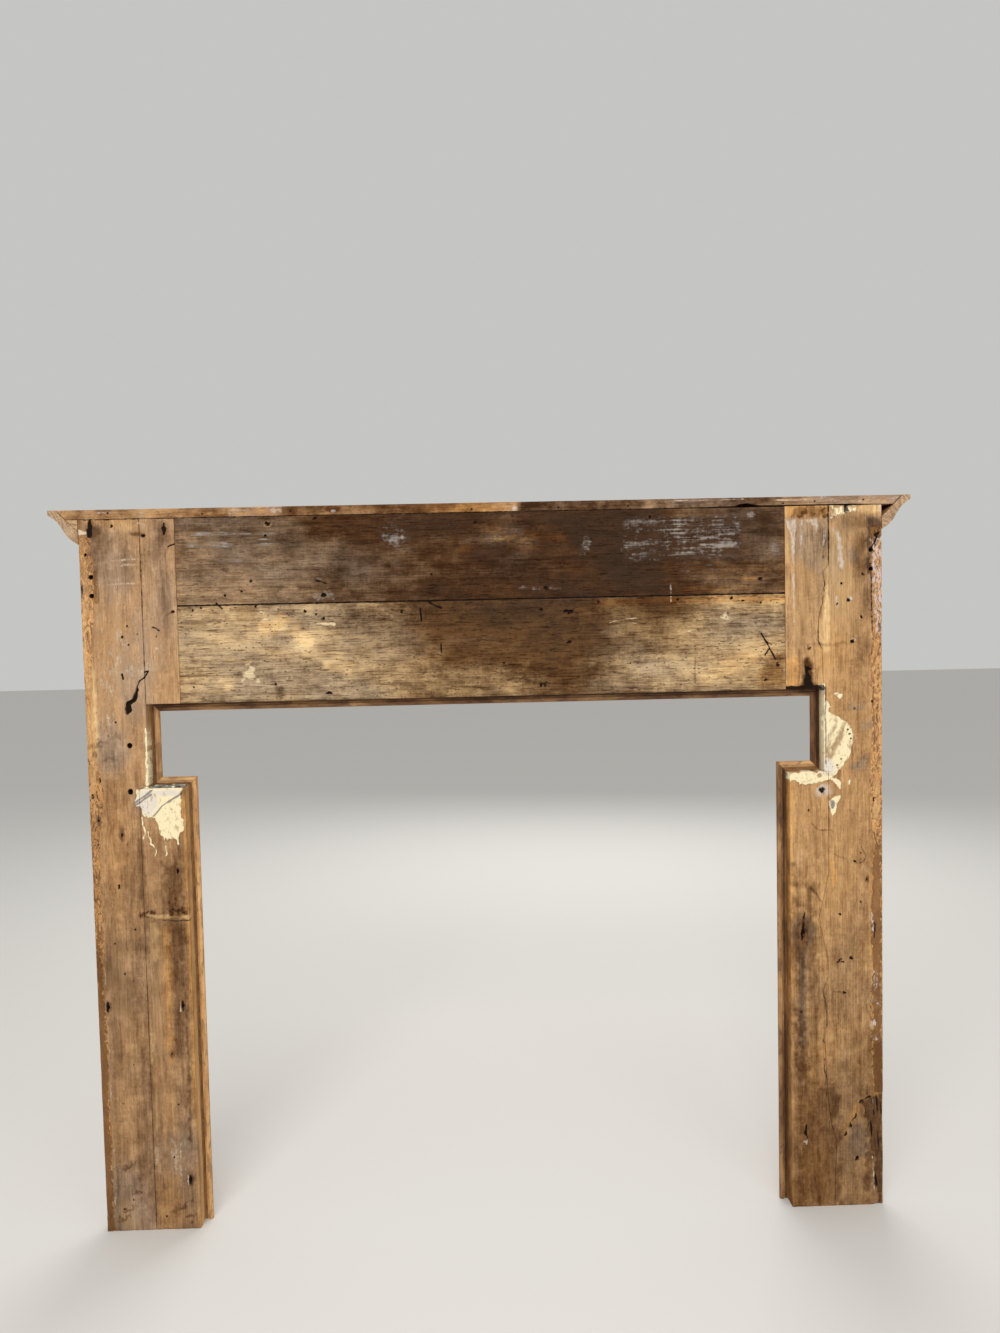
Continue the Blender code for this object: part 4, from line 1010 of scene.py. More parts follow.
# The frieze: two wide boards laid level between the stiles, sooted by the fire and by a
# chimney's damp, with white salts, nails and scratches.
FRIEZE_MARKS = {
    (spot, "bleach"): (
        (-144, 1204, 40, 64, 0.42, 1.4, 0.9), (-137, 1214, 16, 20, 0.6, 1.3, 0.9),
        (-277, 1114, 34, 12, 0.6, 1.2, 0.8), (178, 1192, 22, 30, 0.45, 1.2, 0.6),
        (461, 1238, 16, 12, 0.6, 1), (504, 1173, 18, 28, 0.7), (-385, 1086, 14, 8, 0.85, 1.2, 0.6),
        (-378, 1074, 12, 7, 0.85, 1.2, 0.6), (-322, 1024, 34, 16, 0.85, 1.2, 0.6),
        (-407, 982, 18, 24, 0.85, 1.2, 0.6), (-421, 970, 8, 8, 0.85, 1.2, 0.6),
        (-396, 968, 10, 7, 0.85, 1.2, 0.6), (416, 1059, 15, 13, 0.85, 1.2, 0.6),
    ),
    (spot, "soot"): (
        (-166, 1164, 16, 22, 1, 1), (160, 1056, 150, 84, 1.15, 1.3, 0.5),
    ),
    (spot, "ink"): (
        (-165, 1160, 7, 9, 0.45, 1, 0.5), (270, 1223, 20, 9, 0.4, 1), (176, 1196, 10, 14, 0.4, 1, 0.5),
    ),
    (spot, "fresh"): (
        (-370, 1237, 14, 11, 0.8, 0.7), (24, 1204, 60, 9, 0.7, 1.4, 1), (70, 1200, 44, 9, 0.6, 1.4, 1),
        (4, 1226, 50, 9, 0.7, 1.4, 1), (-60, 1204, 40, 9, 0.4, 1.4, 1), (100, 1224, 30, 9, 0.5, 1.4, 1),
        (40, 1238, 60, 9, 0.5, 1.4, 1),
    ),
    (spot, "honey"): (
        (20, 1218, 50, 12, 1, 1.3, 0.8), (45, 1206, 50, 12, 1, 1.3, 0.8), (88, 1212, 50, 12, 1, 1.3, 0.8),
        (-20, 1190, 50, 12, 1, 1.3, 0.8), (120, 1206, 50, 12, 1, 1.3, 0.8),
        (60, 1190, 50, 12, 1, 1.3, 0.8), (274, 1149, 9, 8, 1, 0.8),
    ),
    (spot, "grey"): (
        (225, 1225, 40, 12, 1, 1),
    ),
    (stroke, "bleach"): (
        ([(300, 1223, 0.3), (346, 1223.6), (392, 1223, 0.3)], 2.2, 0.8, 2.6),
        ([(330, 1220, 0.3), (388, 1220.6), (446, 1220, 0.3)], 2.2, 0.8, 2.6),
        ([(306, 1214, 0.3), (363, 1214.6), (420, 1214, 0.3)], 2.2, 0.8, 2.6),
        ([(350, 1211, 0.3), (398, 1211.6), (446, 1211, 0.3)], 2.2, 0.8, 2.6),
        ([(380, 1204, 0.3), (413, 1204.6), (446, 1204, 0.3)], 2.2, 0.8, 2.6),
        ([(310, 1196, 0.3), (375, 1196.6), (440, 1196, 0.3)], 2.2, 0.8, 2.6),
        ([(300, 1193, 0.3), (350, 1193.6), (400, 1193, 0.3)], 2.2, 0.8, 2.6),
        ([(320, 1189, 0.3), (383, 1189.6), (446, 1189, 0.3)], 2.2, 0.8, 2.6),
        ([(306, 1182, 0.3), (338, 1182.6), (370, 1182, 0.3)], 2.2, 0.8, 2.6),
        ([(340, 1175, 0.3), (390, 1175.6), (440, 1175, 0.3)], 2.2, 0.8, 2.6),
        ([(310, 1230, 0.3), (330, 1230.6), (350, 1230, 0.3)], 2.2, 0.8, 2.6),
        ([(380, 1235, 0.3), (410, 1235.6), (440, 1235, 0.3)], 2.2, 0.8, 2.6),
        ([(-288, 1144), (-266, 1137)], 3, 0.6, 4),
        ([(58, 1121, 0.2), (92, 1119), (132, 1117, 0.2)], 7, 0.6, 6, 1),
        ([(322, 1122), (323, 1090)], 1.8, 0.9, 2), ([(-290, 1066), (-262, 1064)], 4, 0.9, 4),
        ([(214, 1056), (240, 1062), (266, 1063)], 1.8, 0.9, 2), ([(220, 1050), (262, 1055)], 1.6, 0.7, 2),
        ([(337, 1036), (356, 1039)], 3, 0.8),
    ),
    (stroke, "ink"): (
        ([(-290, 1140), (-272, 1133)], 3, 0.8), ([(-112, 1088), (-111, 1063, 0.6)], 2.6, 0.95, 2.4),
        ([(-78, 1027), (-78, 1011)], 2.4, 0.9, 2.4),
        ([(166, 1072, 0.5), (164, 1050), (167, 1026, 0.5), (165, 1008, 0.8)], 1.8, 0.6, 2.4, 1.8),
        # a painted shadow line where the shelf sits on the frieze's top
        ([(-530, 1250.6), (0, 1250.8), (523, 1251)], 1.4, 0.8, 1.8, 0.2),
        ([(-530, 1100.8), (0, 1100.8), (523, 1100.8)], 2.2, 0.9, 2.4, 0.2),
    ),
    (stroke, "soot"): (
        ([(-236, 1140), (-236, 1126)], 4, 0.9), ([(-76, 1132), (-72, 1122), (-78, 1110)], 2.4, 1.2, 2.5),
        ([(363, 995), (363, 946)], 2.4, 0.8, 2.6),
        ([(280, 1010), (287, 1018), (296, 1014), (290, 1006)], 2.4, 0.7),
    ),
    (stroke, "honey"): (
        ([(2, 1243, 0.4), (44, 1243)], 7, 0.9, 7), ([(6, 1232, 0.4), (50, 1232)], 7, 0.9, 7),
        ([(-4, 1222, 0.4), (40, 1222)], 7, 0.9, 7), ([(450, 1127), (476, 1126)], 6, 0.9, 5),
        ([(225, 1126, 0.4), (270, 1128), (330, 1124, 0.4)], 8, 0.8, 8, 2),
        ([(330, 1112, 0.4), (400, 1110), (470, 1114, 0.4)], 10, 0.6, 10, 2),
        ([(200, 1092), (360, 1093), (520, 1092)], 14, 0.8, 10, 2),
    ),
    (stroke, "fresh"): (
        ([(380, 958, 0.4), (430, 967)], 10, 1, 9, 2), ([(392, 968, 0.4), (450, 977)], 10, 1, 9, 2),
        ([(410, 982, 0.4), (470, 991)], 10, 1, 9, 2), ([(384, 950, 0.4), (410, 959)], 10, 1, 9, 2),
        ([(-505, 1068, 0.3), (-475, 1070), (-445, 1068, 0.3)], 9, 0.55, 9, 3),
        ([(-498, 1046, 0.3), (-453, 1048), (-408, 1046, 0.3)], 9, 0.55, 9, 3),
        ([(-480, 1004, 0.3), (-440, 1006), (-400, 1004, 0.3)], 9, 0.55, 9, 3),
        ([(-300, 985, 0.3), (-265, 987), (-230, 985, 0.3)], 9, 0.55, 9, 3),
        ([(-250, 1040, 0.3), (-220, 1042), (-190, 1040, 0.3)], 9, 0.55, 9, 3),
        ([(-505, 952, 0.3), (-470, 954), (-435, 952, 0.3)], 9, 0.55, 9, 3),
        ([(300, 1010, 0.3), (330, 1012), (360, 1010, 0.3)], 9, 0.55, 9, 3),
        ([(230, 1078, 0.3), (255, 1080), (280, 1078, 0.3)], 9, 0.55, 9, 3),
    ),
    (patch, "bleach"): (
        ([(236, 1236), (446, 1240), (446, 1165), (240, 1160)], 0.3, 10),
    ),
    (patch, "grey"): (
        ([(130, 1251), (300, 1251), (300, 1105), (236, 1105), (150, 1190)], 0.9, 30, 6),
        ([(447, 1251), (522, 1251), (522, 1160), (447, 1160)], 0.8, 12, 5),
    ),
    (patch, "soot"): (
        ([(486, 990), (523, 1000), (523, 932), (470, 932)], 0.6, 20, 5),
        ([(233, 1236), (446, 1240), (446, 1168), (240, 1160)], 0.95),
        ([(-369, 962), (-348, 960), (-350, 928), (-366, 930)], 0.6, 10, 4),
    ),
    (patch, "fresh"): (
        ([(372, 940), (440, 944), (516, 1010), (516, 1030), (420, 985)], 0.6, 26, 5),
    ),
    (hole,): (
        (-370, 1237, 7, 6, 3), (-374, 1218, 4, 4, 3), (-14, 1234, 6, 5, 3), (-401, 1141, 4, 4, 3),
        (-419, 1123, 4, 4, 3), (-446, 1118, 3, 4, 3), (-277, 1114, 9, 6, 3), (288, 1237, 5, 5, 3),
        (479, 1126, 8, 6, 3), (106, 1119, 9, 6, 3), (-289, 1246, 8, 4, 3), (-92, 1146, 3, 3, 3),
        (-396, 1097, 4, 4, 3), (-503, 1093, 4, 4, 3), (-488, 1096, 3, 3, 3), (-310, 1087, 4, 4, 3),
        (-292, 1081, 3, 3, 3), (-280, 1073, 6, 5, 3), (-144, 1083, 5, 5, 3), (-273, 945, 10, 4, 3),
        (-365, 963, 4, 5, 3), (96, 1081, 5, 5, 3), (144, 1077, 16, 5, 3), (144, 1025, 5, 5, 3),
        (98, 951, 12, 6, 3), (196, 1094, 5, 4, 3), (335, 1094, 4, 4, 3), (428, 1094, 4, 4, 3),
        (448, 1089, 4, 4, 3), (479, 1085, 4, 4, 3), (508, 976, 5, 5, 3), (487, 950, 4, 4, 3),
        (-505, 960, 3, 3, 3), (30, 990, 3, 3, 3), (250, 985, 3, 3, 3),
    ),
    (crack,): (
        ([(-462, 1104), (-452, 1094)], 2, 1.2), ([(-99, 1101), (-88, 1092), (-76, 1088)], 2.4),
        ([(480, 1032), (488, 1018), (497, 1000), (505, 986)], 2.2, 1.6),
        ([(488, 1018), (497, 1012)], 1.6, 1), ([(494, 1006), (486, 994)], 1.6, 1),
    ),
    (patch, "honey"): (
        ([(480, 990), (523, 1000), (523, 932), (460, 932)], 0.6, 20, 5),
    ),
}


def bell(value, middle, reach, power=2):
    """One at the middle, falling away to nothing on both sides."""
    return np.exp(-((value - middle) / reach) ** power)


def rising(value, start, run):
    """Nothing before the start, one after the run; a run below nothing goes the other way."""
    return np.clip((value - start) / run, 0, 1)


def tick_marks(canvas, across, low, high, every, channel, strength):
    """Short level scratches one above another, where a scraper or saw has stopped."""
    chance = np.random.default_rng(int(abs(across)))
    up = low
    while up < high:
        reach = 3 + 5 * chance.random()
        stroke(canvas, channel, [(across - reach, up), (across + reach, up + chance.random())],
               2.2, strength, 2.2)
        up += every * (0.7 + 0.6 * chance.random())


def upper_soot(x, z):
    """Soot from the fire on the upper board, deepest right of the middle."""
    cover = 0.68 + 0.34 * bell(x, 170, 230) + 0.20 * bell(x, -110, 150) - 0.24 * bell(x, -430, 150)
    cover += 0.20 * bell(x, 172, 50) + 0.42 * bell(x, 270, 62, 4) * np.clip((z - 1090) / 50, 0.3, 1)
    cover += 0.24 * bell(x, -290, 120) * rising(z, 1190, 30)
    cover -= 0.50 * bell(x, -490, 90) * rising(z, 1160, -30)
    cover -= 0.12 * bell(x, -300, 120) * rising(z, 1150, -30)
    cover -= 0.26 * bell(x, 430, 60) * rising(z, 1150, -30)
    return cover - 0.30 * bell(x, 40, 60) * rising(z, 1185, 20)


def lower_soot(x, z):
    """Soot on the lower board, in two clouds with a pale foot."""
    cover = 0.12 + 0.92 * bell(x, 128, 95) + 0.80 * bell(x, -60, 135)
    cover += 0.25 * rising(x, 180, 120) - 0.12 * rising(x, 360, 60)
    cover += 0.22 * bell(x, -225, 60) * rising(z, 995, 25)
    cover += 0.34 * bell(x, 300, 62) * np.clip((z - 985) / 25, 0.25, 1)
    cover += 0.14 * bell(x, 60, 160) * rising(z, 1040, 30)
    cover += 0.14 * rising(z, 1040, 60) * rising(x, -260, 200)
    cover -= 0.40 * bell(x, 60, 200) * rising(z, 1000, -40)
    cover -= 0.14 * bell(x, 430, 50) * rising(z, 1035, 30)
    return cover - 0.20 * bell(x, -350, 190) * rising(z, 1000, -40)


def mark_frieze(canvas):
    """Everything that time has left on the rear of the frieze."""
    x, z = canvas["x"], canvas["z"]
    upper = z.min() > 1100
    cover = upper_soot(x, z) if upper else lower_soot(x, z)
    cover += 0.13 * rough(x * 0.45, z, 60, 5) + 0.07 * rough(x * 0.6, z, 20, 8)
    cover += 0.16 * (1 if upper else 0.6) * np.clip(drift(x * 0.4, z, 26, 91), -0.5, 1)
    canvas["soot"] = np.clip(cover, 0, 1.35)
    canvas["grey"] = np.clip(0.40 + 0.5 * rough(x * 0.5, z, 70, 12), 0, 1)
    canvas["honey"] = np.clip(0.34 * rough(x * 0.3, z, 60, 15), 0, 1)
    if not upper:
        glints = np.clip(1.1 * rough(x * 0.7, z, 34, 33) - 0.42, 0, 1)
        canvas["fresh"] = glints * np.clip(1.15 - 1.6 * cover, 0, 1)
        near = around(canvas, [(-530, 1080), (523, 1101)])
        lay(canvas, "soot", near, 0.28 * rising(z[near], 1080, 18))
        # painted shade along the lower board's foot, where it meets the head of the architrave
        canvas["soot"] = np.maximum(canvas["soot"], 0.6 * np.clip(1 - (z - 933) / 10, 0, 1))
    # salts on the upper board
    for low, high, left, right, strength, seed in (
            (1196, 1228, -515, -345, 0.85, 1), (1172, 1194, -500, -400, 0.5, 2),
            (1178, 1232, 296, 446, 0.9, 3), (1110, 1160, 330, 440, 0.35, 4)):
        near = around(canvas, [(left - 10, low - 8), (right + 10, high + 8)])
        fade = np.clip(np.minimum(x[near] - left, right - x[near]) / 22, 0, 1)
        fade *= np.clip(np.minimum(z[near] - low, high - z[near]) / 8 + 0.3, 0, 1)
        lines = np.clip(0.5 + 1.3 * drift(x[near] * 0.05, z[near], 3.4, seed + 60), 0, 1)
        breaks = np.clip(0.6 + 0.7 * drift(x[near], z[near], 22, seed + 70), 0, 1)
        lay(canvas, "bleach", near, strength * fade * lines * breaks)
    lay(canvas, "grey", around(canvas, [(300, 1160), (447, 1236)]), 0.9)
    lay_marks(canvas, FRIEZE_MARKS)
    tick_marks(canvas, 517, 1104, 1246, 9, "honey", 0.9)
    tick_marks(canvas, -525, 940, 1246, 8, "honey", 0.8)


frieze_upper_pine = board_finish("upper_frieze_pine", (0.44, 0.28, 0.15, 1),
                                 (0.17, 0.095, 0.045, 1), (0.25, 0.185, 0.14, 1),
                                 (0.36, 0.315, 0.28, 1), 7.1, True, 1.1, 18.0, 0.6, 0.8)
frieze_lower_pine = board_finish("lower_frieze_pine", (0.66, 0.45, 0.22, 1),
                                 (0.25, 0.145, 0.066, 1), (0.38, 0.29, 0.20, 1),
                                 (0.78, 0.62, 0.38, 1), 9.4, True, 1.15, 34.0, 0.75, 1.0)
rear_board("rear_frieze_upper", "frieze_board_upper", mark_frieze, frieze_upper_pine)
rear_board("rear_frieze_lower", "frieze_board_lower", mark_frieze, frieze_lower_pine)


# The mantelshelf: one thin board with bevelled ends and front, laid on the boards' tops.
# Its rear edge is stained in blocks, and a bite is missing from its underside on the right.
SHELF_SOOT = (
    (-730, 0.15), (-690, 0.40), (-600, 0.42), (-530, 0.42), (-510, 0.60), (-430, 0.50),
    (-390, 0.28), (-345, 0.56), (-320, 0.66), (-270, 0.60), (-240, 0.62), (-160, 0.72),
    (-130, 0.80), (-60, 0.68), (-20, 0.52), (20, 0.26), (52, 0.04), (66, 0.72), (120, 0.86),
    (190, 0.86), (230, 0.78), (280, 0.48), (310, 0.54), (400, 0.72), (450, 0.92), (500, 0.60),
    (560, 0.26), (660, 0.30), (730, 0.28),
)
SHELF_MARKS = {
    (spot, "bleach"): (
        (-580, 1259, 34, 15, 0.5), (53, 1259, 12, 16, 0.6),
    ),
    (spot, "soot"): (
        (-258, 1262, 34, 14, 1, 1), (-135, 1261, 26, 12, 1, 1),
    ),
    (spot, "lime"): (
        (-257, 1258, 9, 5, 1, 0.7),
    ),
    (spot, "grey"): (
        (390, 1259, 180, 30, 1, 0.9), (610, 1259, 230, 30, 0.7, 0.9),
    ),
    (spot, "ink"): (
        (-640, 1261.32, 3.2, 3.2, 0.9, 0.9), (-480, 1257.15, 3.2, 3.2, 0.9, 0.9),
        (-330, 1259.4, 3.2, 3.2, 0.9, 0.9), (-20, 1256.26, 3.2, 3.2, 0.9, 0.9),
        (130, 1256.21, 3.2, 3.2, 0.9, 0.9), (250, 1256.09, 3.2, 3.2, 0.9, 0.9),
        (520, 1256.01, 3.2, 3.2, 0.9, 0.9), (575, 1258.73, 3.2, 3.2, 0.9, 0.9),
        (660, 1259.79, 3.2, 3.2, 0.9, 0.9),
    ),
    (stroke, "ink"): (
        # a painted shadow line along the shelf's underside, where it sits on the boards
        ([(-740, 1250.8), (0, 1251.2), (740, 1251.2)], 1.6, 0.6, 2, 0.2),
    ),
    (stroke, "bleach"): (
        ([(-700, 1262, 0.5), (-655, 1262), (-610, 1262, 0.4)], 3, 0.75),
        ([(505, 1262, 0.5), (550, 1262), (595, 1262, 0.4)], 3, 0.75),
        ([(620, 1258, 0.5), (660, 1258), (700, 1258, 0.4)], 3, 0.75),
        ([(330, 1264, 0.5), (390, 1264), (450, 1264, 0.4)], 3, 0.75),
    ),
    (stroke, "honey"): (
        ([(-520, 1257, 0.5), (-460, 1257), (-400, 1257, 0.4)], 3, 0.75),
    ),
    (stroke, "soot"): (
        ([(-420, 1264, 0.5), (-345, 1264), (-270, 1264, 0.4)], 3, 0.75),
        ([(540, 1256, 0.5), (590, 1256), (640, 1256, 0.4)], 3, 0.75),
        ([(-680, 1255, 0.5), (-635, 1255), (-590, 1255, 0.4)], 3, 0.75),
    ),
}


def mark_shelf(canvas):
    """Stains in blocks along the shelf's rear edge."""
    x, z = canvas["x"], canvas["z"]
    shade = np.interp(x, *zip(*SHELF_SOOT))
    canvas["soot"] = np.clip(shade + 0.2 * rough(x, z, 20, 5), 0, 1)
    canvas["honey"] = np.clip(1.1 - np.abs(x + 30) / 110, 0, 1) * (x < 58)
    canvas["honey"] = np.maximum(canvas["honey"], 0.5 * ((x > 230) & (x < 320)))
    canvas["fresh"] = np.clip(0.5 * rough(x, z, 40, 9), 0, 1) * (shade < 0.5) * (np.abs(x) > 66)
    canvas["bleach"] = 0.3 * np.clip((np.abs(x + 390) < 46) + (x > 570), 0, 1)
    canvas["grey"] = 0.6 * (x > 62)
    lay_marks(canvas, SHELF_MARKS)


def shelf_bite(x):
    """How far the underside of the shelf rises where it is bitten and where it has warped."""
    across = x / MM
    bite = 6.0 * np.clip(1 - ((across - 459) / 27) ** 2, 0, 1)
    bite *= np.clip(1.0 + 0.3 * drift(across, across * 0, 6, 5), 0.6, 1.3)
    warp = 2.2 * np.clip((across - 330) / 150, 0, 1) * np.clip((700 - across) / 60, 0, 1)
    return np.maximum(bite, warp) * MM


shelf_pine = board_finish("shelf_pine", (0.56, 0.32, 0.145, 1), (0.26, 0.13, 0.052, 1),
                          (0.44, 0.33, 0.25, 1), (0.68, 0.52, 0.42, 1), 12.3, True, 1.2)
SHELF_CELL = 0.0014
shelf_low, shelf_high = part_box("shelf_board")
shelf_heights = np.array([shelf_low.z, shelf_high.z])
bevel = shelf_high.z - shelf_low.z
rear_board("rear_edge_of_shelf", "shelf_board", mark_shelf, shelf_pine,
           left=(shelf_heights, np.array([shelf_low.x + bevel, shelf_low.x])),
           right=(shelf_heights, np.array([shelf_high.x - bevel, shelf_high.x])), cell=SHELF_CELL,
           lower_edge=shelf_bite, front=lambda height: shelf_high.y - (shelf_high.z - height))


# The mouldings: a cornice sprung under the shelf and mitred round both ends, and an
# architrave mitred round the eared opening, its beaded lip standing inside the boards.
def stored(solid, name, value, domain="POINT", kind="FLOAT"):
    """Store a value on a shape's points or faces, for its finish to read."""
    return put(solid.tree, "GeometryNodeStoreNamedAttribute",
               {"Geometry": solid, "Name": name, "Value": value}, data_type=kind, domain=domain)


def moved(solid, **how):
    return put(solid.tree, "GeometryNodeSetPosition", {"Geometry": solid, **how})


def mitred_moulding():
    """Draws a section along a length, cuts both ends to their slopes and sets it in place."""
    tree = bpy.data.node_groups.new("mitred_moulding", "GeometryNodeTree")
    sockets = {}
    # the Soot input carries soot, and painted shade for some lengths
    for label, kind in (("Section", "Geometry"), ("Length", "Float"), ("Start Slope", "Float"),
                        ("End Slope", "Float"), ("Corner", "Vector"), ("Outward", "Vector"),
                        ("Rise", "Vector"), ("Rows", "Int"), ("Wear", "Float"),
                        ("Seed", "Float"), ("Soot", "Float"), ("Lip", "Float"),
                        ("Finish", "Material")):
        socket = tree.interface.new_socket(label, in_out="INPUT", socket_type="NodeSocket" + kind)
        sockets[label] = socket.identifier
    tree.interface.new_socket("Moulding", in_out="OUTPUT", socket_type="NodeSocketGeometry")
    entry = {s.name: Wire(tree, s) for s in tree.nodes.new("NodeGroupInput").outputs if s.name}
    outline = put(tree, "GeometryNodeMeshToCurve", {"Mesh": entry["Section"]})
    line = put(tree, "GeometryNodeCurvePrimitiveLine", {"End": (0, 0, 1)})
    path = put(tree, "GeometryNodeResampleCurve", {"Curve": line, "Count": entry["Rows"]})
    solid = put(tree, "GeometryNodeCurveToMesh", {"Curve": path, "Profile Curve": outline,
                                                  "Fill Caps": True})
    facing = put(tree, "SeparateXYZ", {0: put(tree, "GeometryNodeInputNormal")}, "Z")
    cut = facing.step("ABSOLUTE").step("GREATER_THAN", 0.9)
    solid = stored(solid, "cut_end", cut, "FACE")
    still = put(tree, "GeometryNodeInputPosition")
    here = put(tree, "SeparateXYZ", {0: still})
    reach = (entry["End Slope"] - entry["Start Slope"]) * here + entry["Length"]
    along = here.beside("Z") * reach + entry["Start Slope"] * here
    solid = moved(solid, Position=put(tree, "CombineXYZ", {0: here, 1: here.beside("Y"), 2: along}))
    shift = put(tree, "CombineXYZ", {1: entry["Seed"]})
    seeded = turned(tree, "ADD", still, shift)
    solid = stored(solid, "place", seeded, kind="FLOAT_VECTOR")
    # the soot amount, which for some lengths is painted shade, is stored for the finish
    solid = stored(stored(solid, "sooted", entry["Soot"]), "lip", entry["Lip"])
    # the wood is worn a little out of true, but not at its cut ends
    bumps = put(tree, "TexNoise", {"Vector": seeded, "Scale": 60.0, "Detail": 2.0}, "Color")
    level = turned(tree, "MULTIPLY", turned(tree, "SUBTRACT", bumps, (0.5, 0.5, 0.5)), (1, 1, 0))
    worn = put(tree, "VectorMath", {0: level, "Scale": entry["Wear"]}, operation="SCALE")
    solid = moved(solid, Offset=worn)
    # from the section's own directions to its place in the surround
    total = entry["Corner"]
    away = turned(tree, "CROSS_PRODUCT", entry["Outward"], entry["Rise"])
    for axis, amount in ((entry["Outward"], here), (entry["Rise"], here.beside("Y")),
                         (away, here.beside("Z"))):
        part = put(tree, "VectorMath", {0: axis, "Scale": amount}, operation="SCALE")
        total = turned(tree, "ADD", total, part)
    solid = put(tree, "GeometryNodeRealizeInstances", {"Geometry": moved(solid, Position=total)})
    solid = put(tree, "GeometryNodeSetMaterial", {"Geometry": solid, "Material": entry["Finish"]})
    wire(tree.nodes.new("NodeGroupOutput"), {0: solid})
    return tree, sockets


MITRED_MOULDING, MOULDING_SOCKETS = mitred_moulding()


def moulding_finish():
    """Stripped pine with old varnish in its hollows, darkened by an amount for each length: soot, and
    painted shade on the lengths turned from the light.
    """
    finish, tree, shader = new_finish("moulding_pine")
    place = put(tree, "Attribute", None, "Vector", attribute_name="place")
    tone, ring, fibre, mottle, _, _ = use_group(tree, PINE_FIGURE, {
        "Place": place, "Rings": 16.0}).values()
    depth = (fibre * 0.9 + tone + mottle + ring * 0.3 + 0.4).held()
    colour = mixed(depth, (0.66, 0.36, 0.145, 1), (0.33, 0.155, 0.055, 1))
    # the lip's bead keeps a golden varnish, and the groove behind it, against the board's edge, is
    # darkened by old paint and by painted shade from the board
    across = put(tree, "SeparateXYZ", {0: place})
    wobble = across + grain_noise(place, 90, 90, 40, 3.0) * 0.003
    beyond_bead = ramp(wobble, 0.0112, 0.0122)
    facing = put(tree, "SeparateXYZ", {0: put(tree, "NewGeometry", None, "Normal")}, "Y")
    behind = ramp(facing, -0.2, -0.6) * channel_of(tree, "lip")
    glow = mixed(depth, (0.80, 0.50, 0.22, 1), (0.46, 0.24, 0.09, 1))
    stain = ramp(grain_noise(place, 120, 120, 40, 4.0, 0.6), 0.50, 0.62)
    glow = mixed(stain * 0.7, glow, (0.20, 0.11, 0.05, 1))
    colour = mixed((beyond_bead * -1 + 1) * behind * 0.8, colour, glow)
    # the groove's dark is old paint and painted shade from the board's edge
    grime_and_shade = mixed(ramp(mottle, -0.12, 0.12), (0.10, 0.040, 0.010, 1), (0.24, 0.115, 0.036, 1))
    groove = beyond_bead * ramp(wobble, 0.0168, 0.0160)
    colour = mixed(groove * behind * 0.9, colour, grime_and_shade)
    # end grain where the lengths are cut
    arcs = (grain_noise(place, 14, 14, 14, 1.0) * 22.0).step("PINGPONG", 0.5)
    ends = ramp(grain_noise(place, 420, 420, 420, 4.0) + arcs * 0.5, 0.35, 0.85)
    cut = mixed(ends, (0.30, 0.17, 0.085, 1), (0.60, 0.42, 0.25, 1))
    colour = mixed(channel_of(tree, "cut_end"), colour, cut)
    # soot and painted shade, strongest on faces turned to the rear
    soot = channel_of(tree, "sooted") * ramp(facing, 0.4, -0.2, 0.3, 1.0)
    soot = soot * ramp(grain_noise(place, 30, 30, 9, 3.0), 0.1, 0.6)
    bump = put(tree, "Bump", {"Strength": 0.7, "Distance": 1.0, "Height": fibre * 0.0003})
    wire(shader, {"Base Color": mixed(soot, colour, (0.16, 0.09, 0.045, 1), "MULTIPLY"),
                  "Roughness": 0.62, "Specular IOR Level": 0.35, "Normal": bump})
    return finish


MOULDING_PINE = moulding_finish()
FIT = 0.0003
FRONT_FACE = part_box("frieze_board_upper")[1].y
CORNICE_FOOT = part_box("cornice_front")[0].z
CORNICE_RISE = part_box("cornice_front")[1].z - CORNICE_FOOT
CORNICE_RUN = 0.050
HALF_BODY = 0.692
RETURN_LENGTH = 0.027


def length_of_moulding(name, node, section, corner, outward, rise, length, slopes, seed, soot, lip):
    """One length of moulding, drawn by its nodes and then made a plain mesh."""
    gaps = [abs(slope) * FIT / 2 for slope in slopes]
    start = Vector(corner) + Vector(outward).cross(Vector(rise)) * gaps[0]
    values = {"Length": length - sum(gaps), "Start Slope": float(slopes[0]),
              "End Slope": float(slopes[1]), "Corner": tuple(start), "Outward": outward,
              "Rise": rise, "Rows": max(6, int(length / 0.01)), "Wear": 0.0005, "Seed": seed,
              "Soot": soot, "Lip": lip, "Finish": MOULDING_PINE}
    outline = bpy.data.meshes.new(name + "_section")
    n = len(section)
    outline.from_pydata([(u, v, 0.0) for u, v in section], [(i, (i + 1) % n) for i in range(n)], [])
    draft = bpy.data.objects.new(name + "_draft", outline)
    bpy.context.scene.collection.objects.link(draft)
    maker = draft.modifiers.new("moulding", "NODES")
    maker.node_group = MITRED_MOULDING
    for label, value in values.items():
        maker[MOULDING_SOCKETS[label]] = value
    draft.update_tag()
    bpy.context.view_layer.update()
    mesh = bpy.data.meshes.new_from_object(draft.evaluated_get(bpy.context.evaluated_depsgraph_get()))
    bpy.data.objects.remove(draft)
    place_piece(name, mesh, 38, node)


def cornice_section():
    """A shallow cyma face, an upright nose and a back cut at 45 degrees."""
    run = Vector((CORNICE_RUN - FIT, CORNICE_RISE - 0.008))
    normal = Vector((run.y, -run.x)).normalized()
    shares = [step / 24 for step in range(25)]
    section = [tuple(Vector((FIT, 0.0)) + run * share + normal * 0.003 * math.sin(2 * math.pi * share))
               for share in shares]
    return section + [(CORNICE_RUN, CORNICE_RISE - 0.0006), (0.0494, CORNICE_RISE),
                      (CORNICE_RISE - 0.021, CORNICE_RISE), (FIT, 0.021 + FIT)]


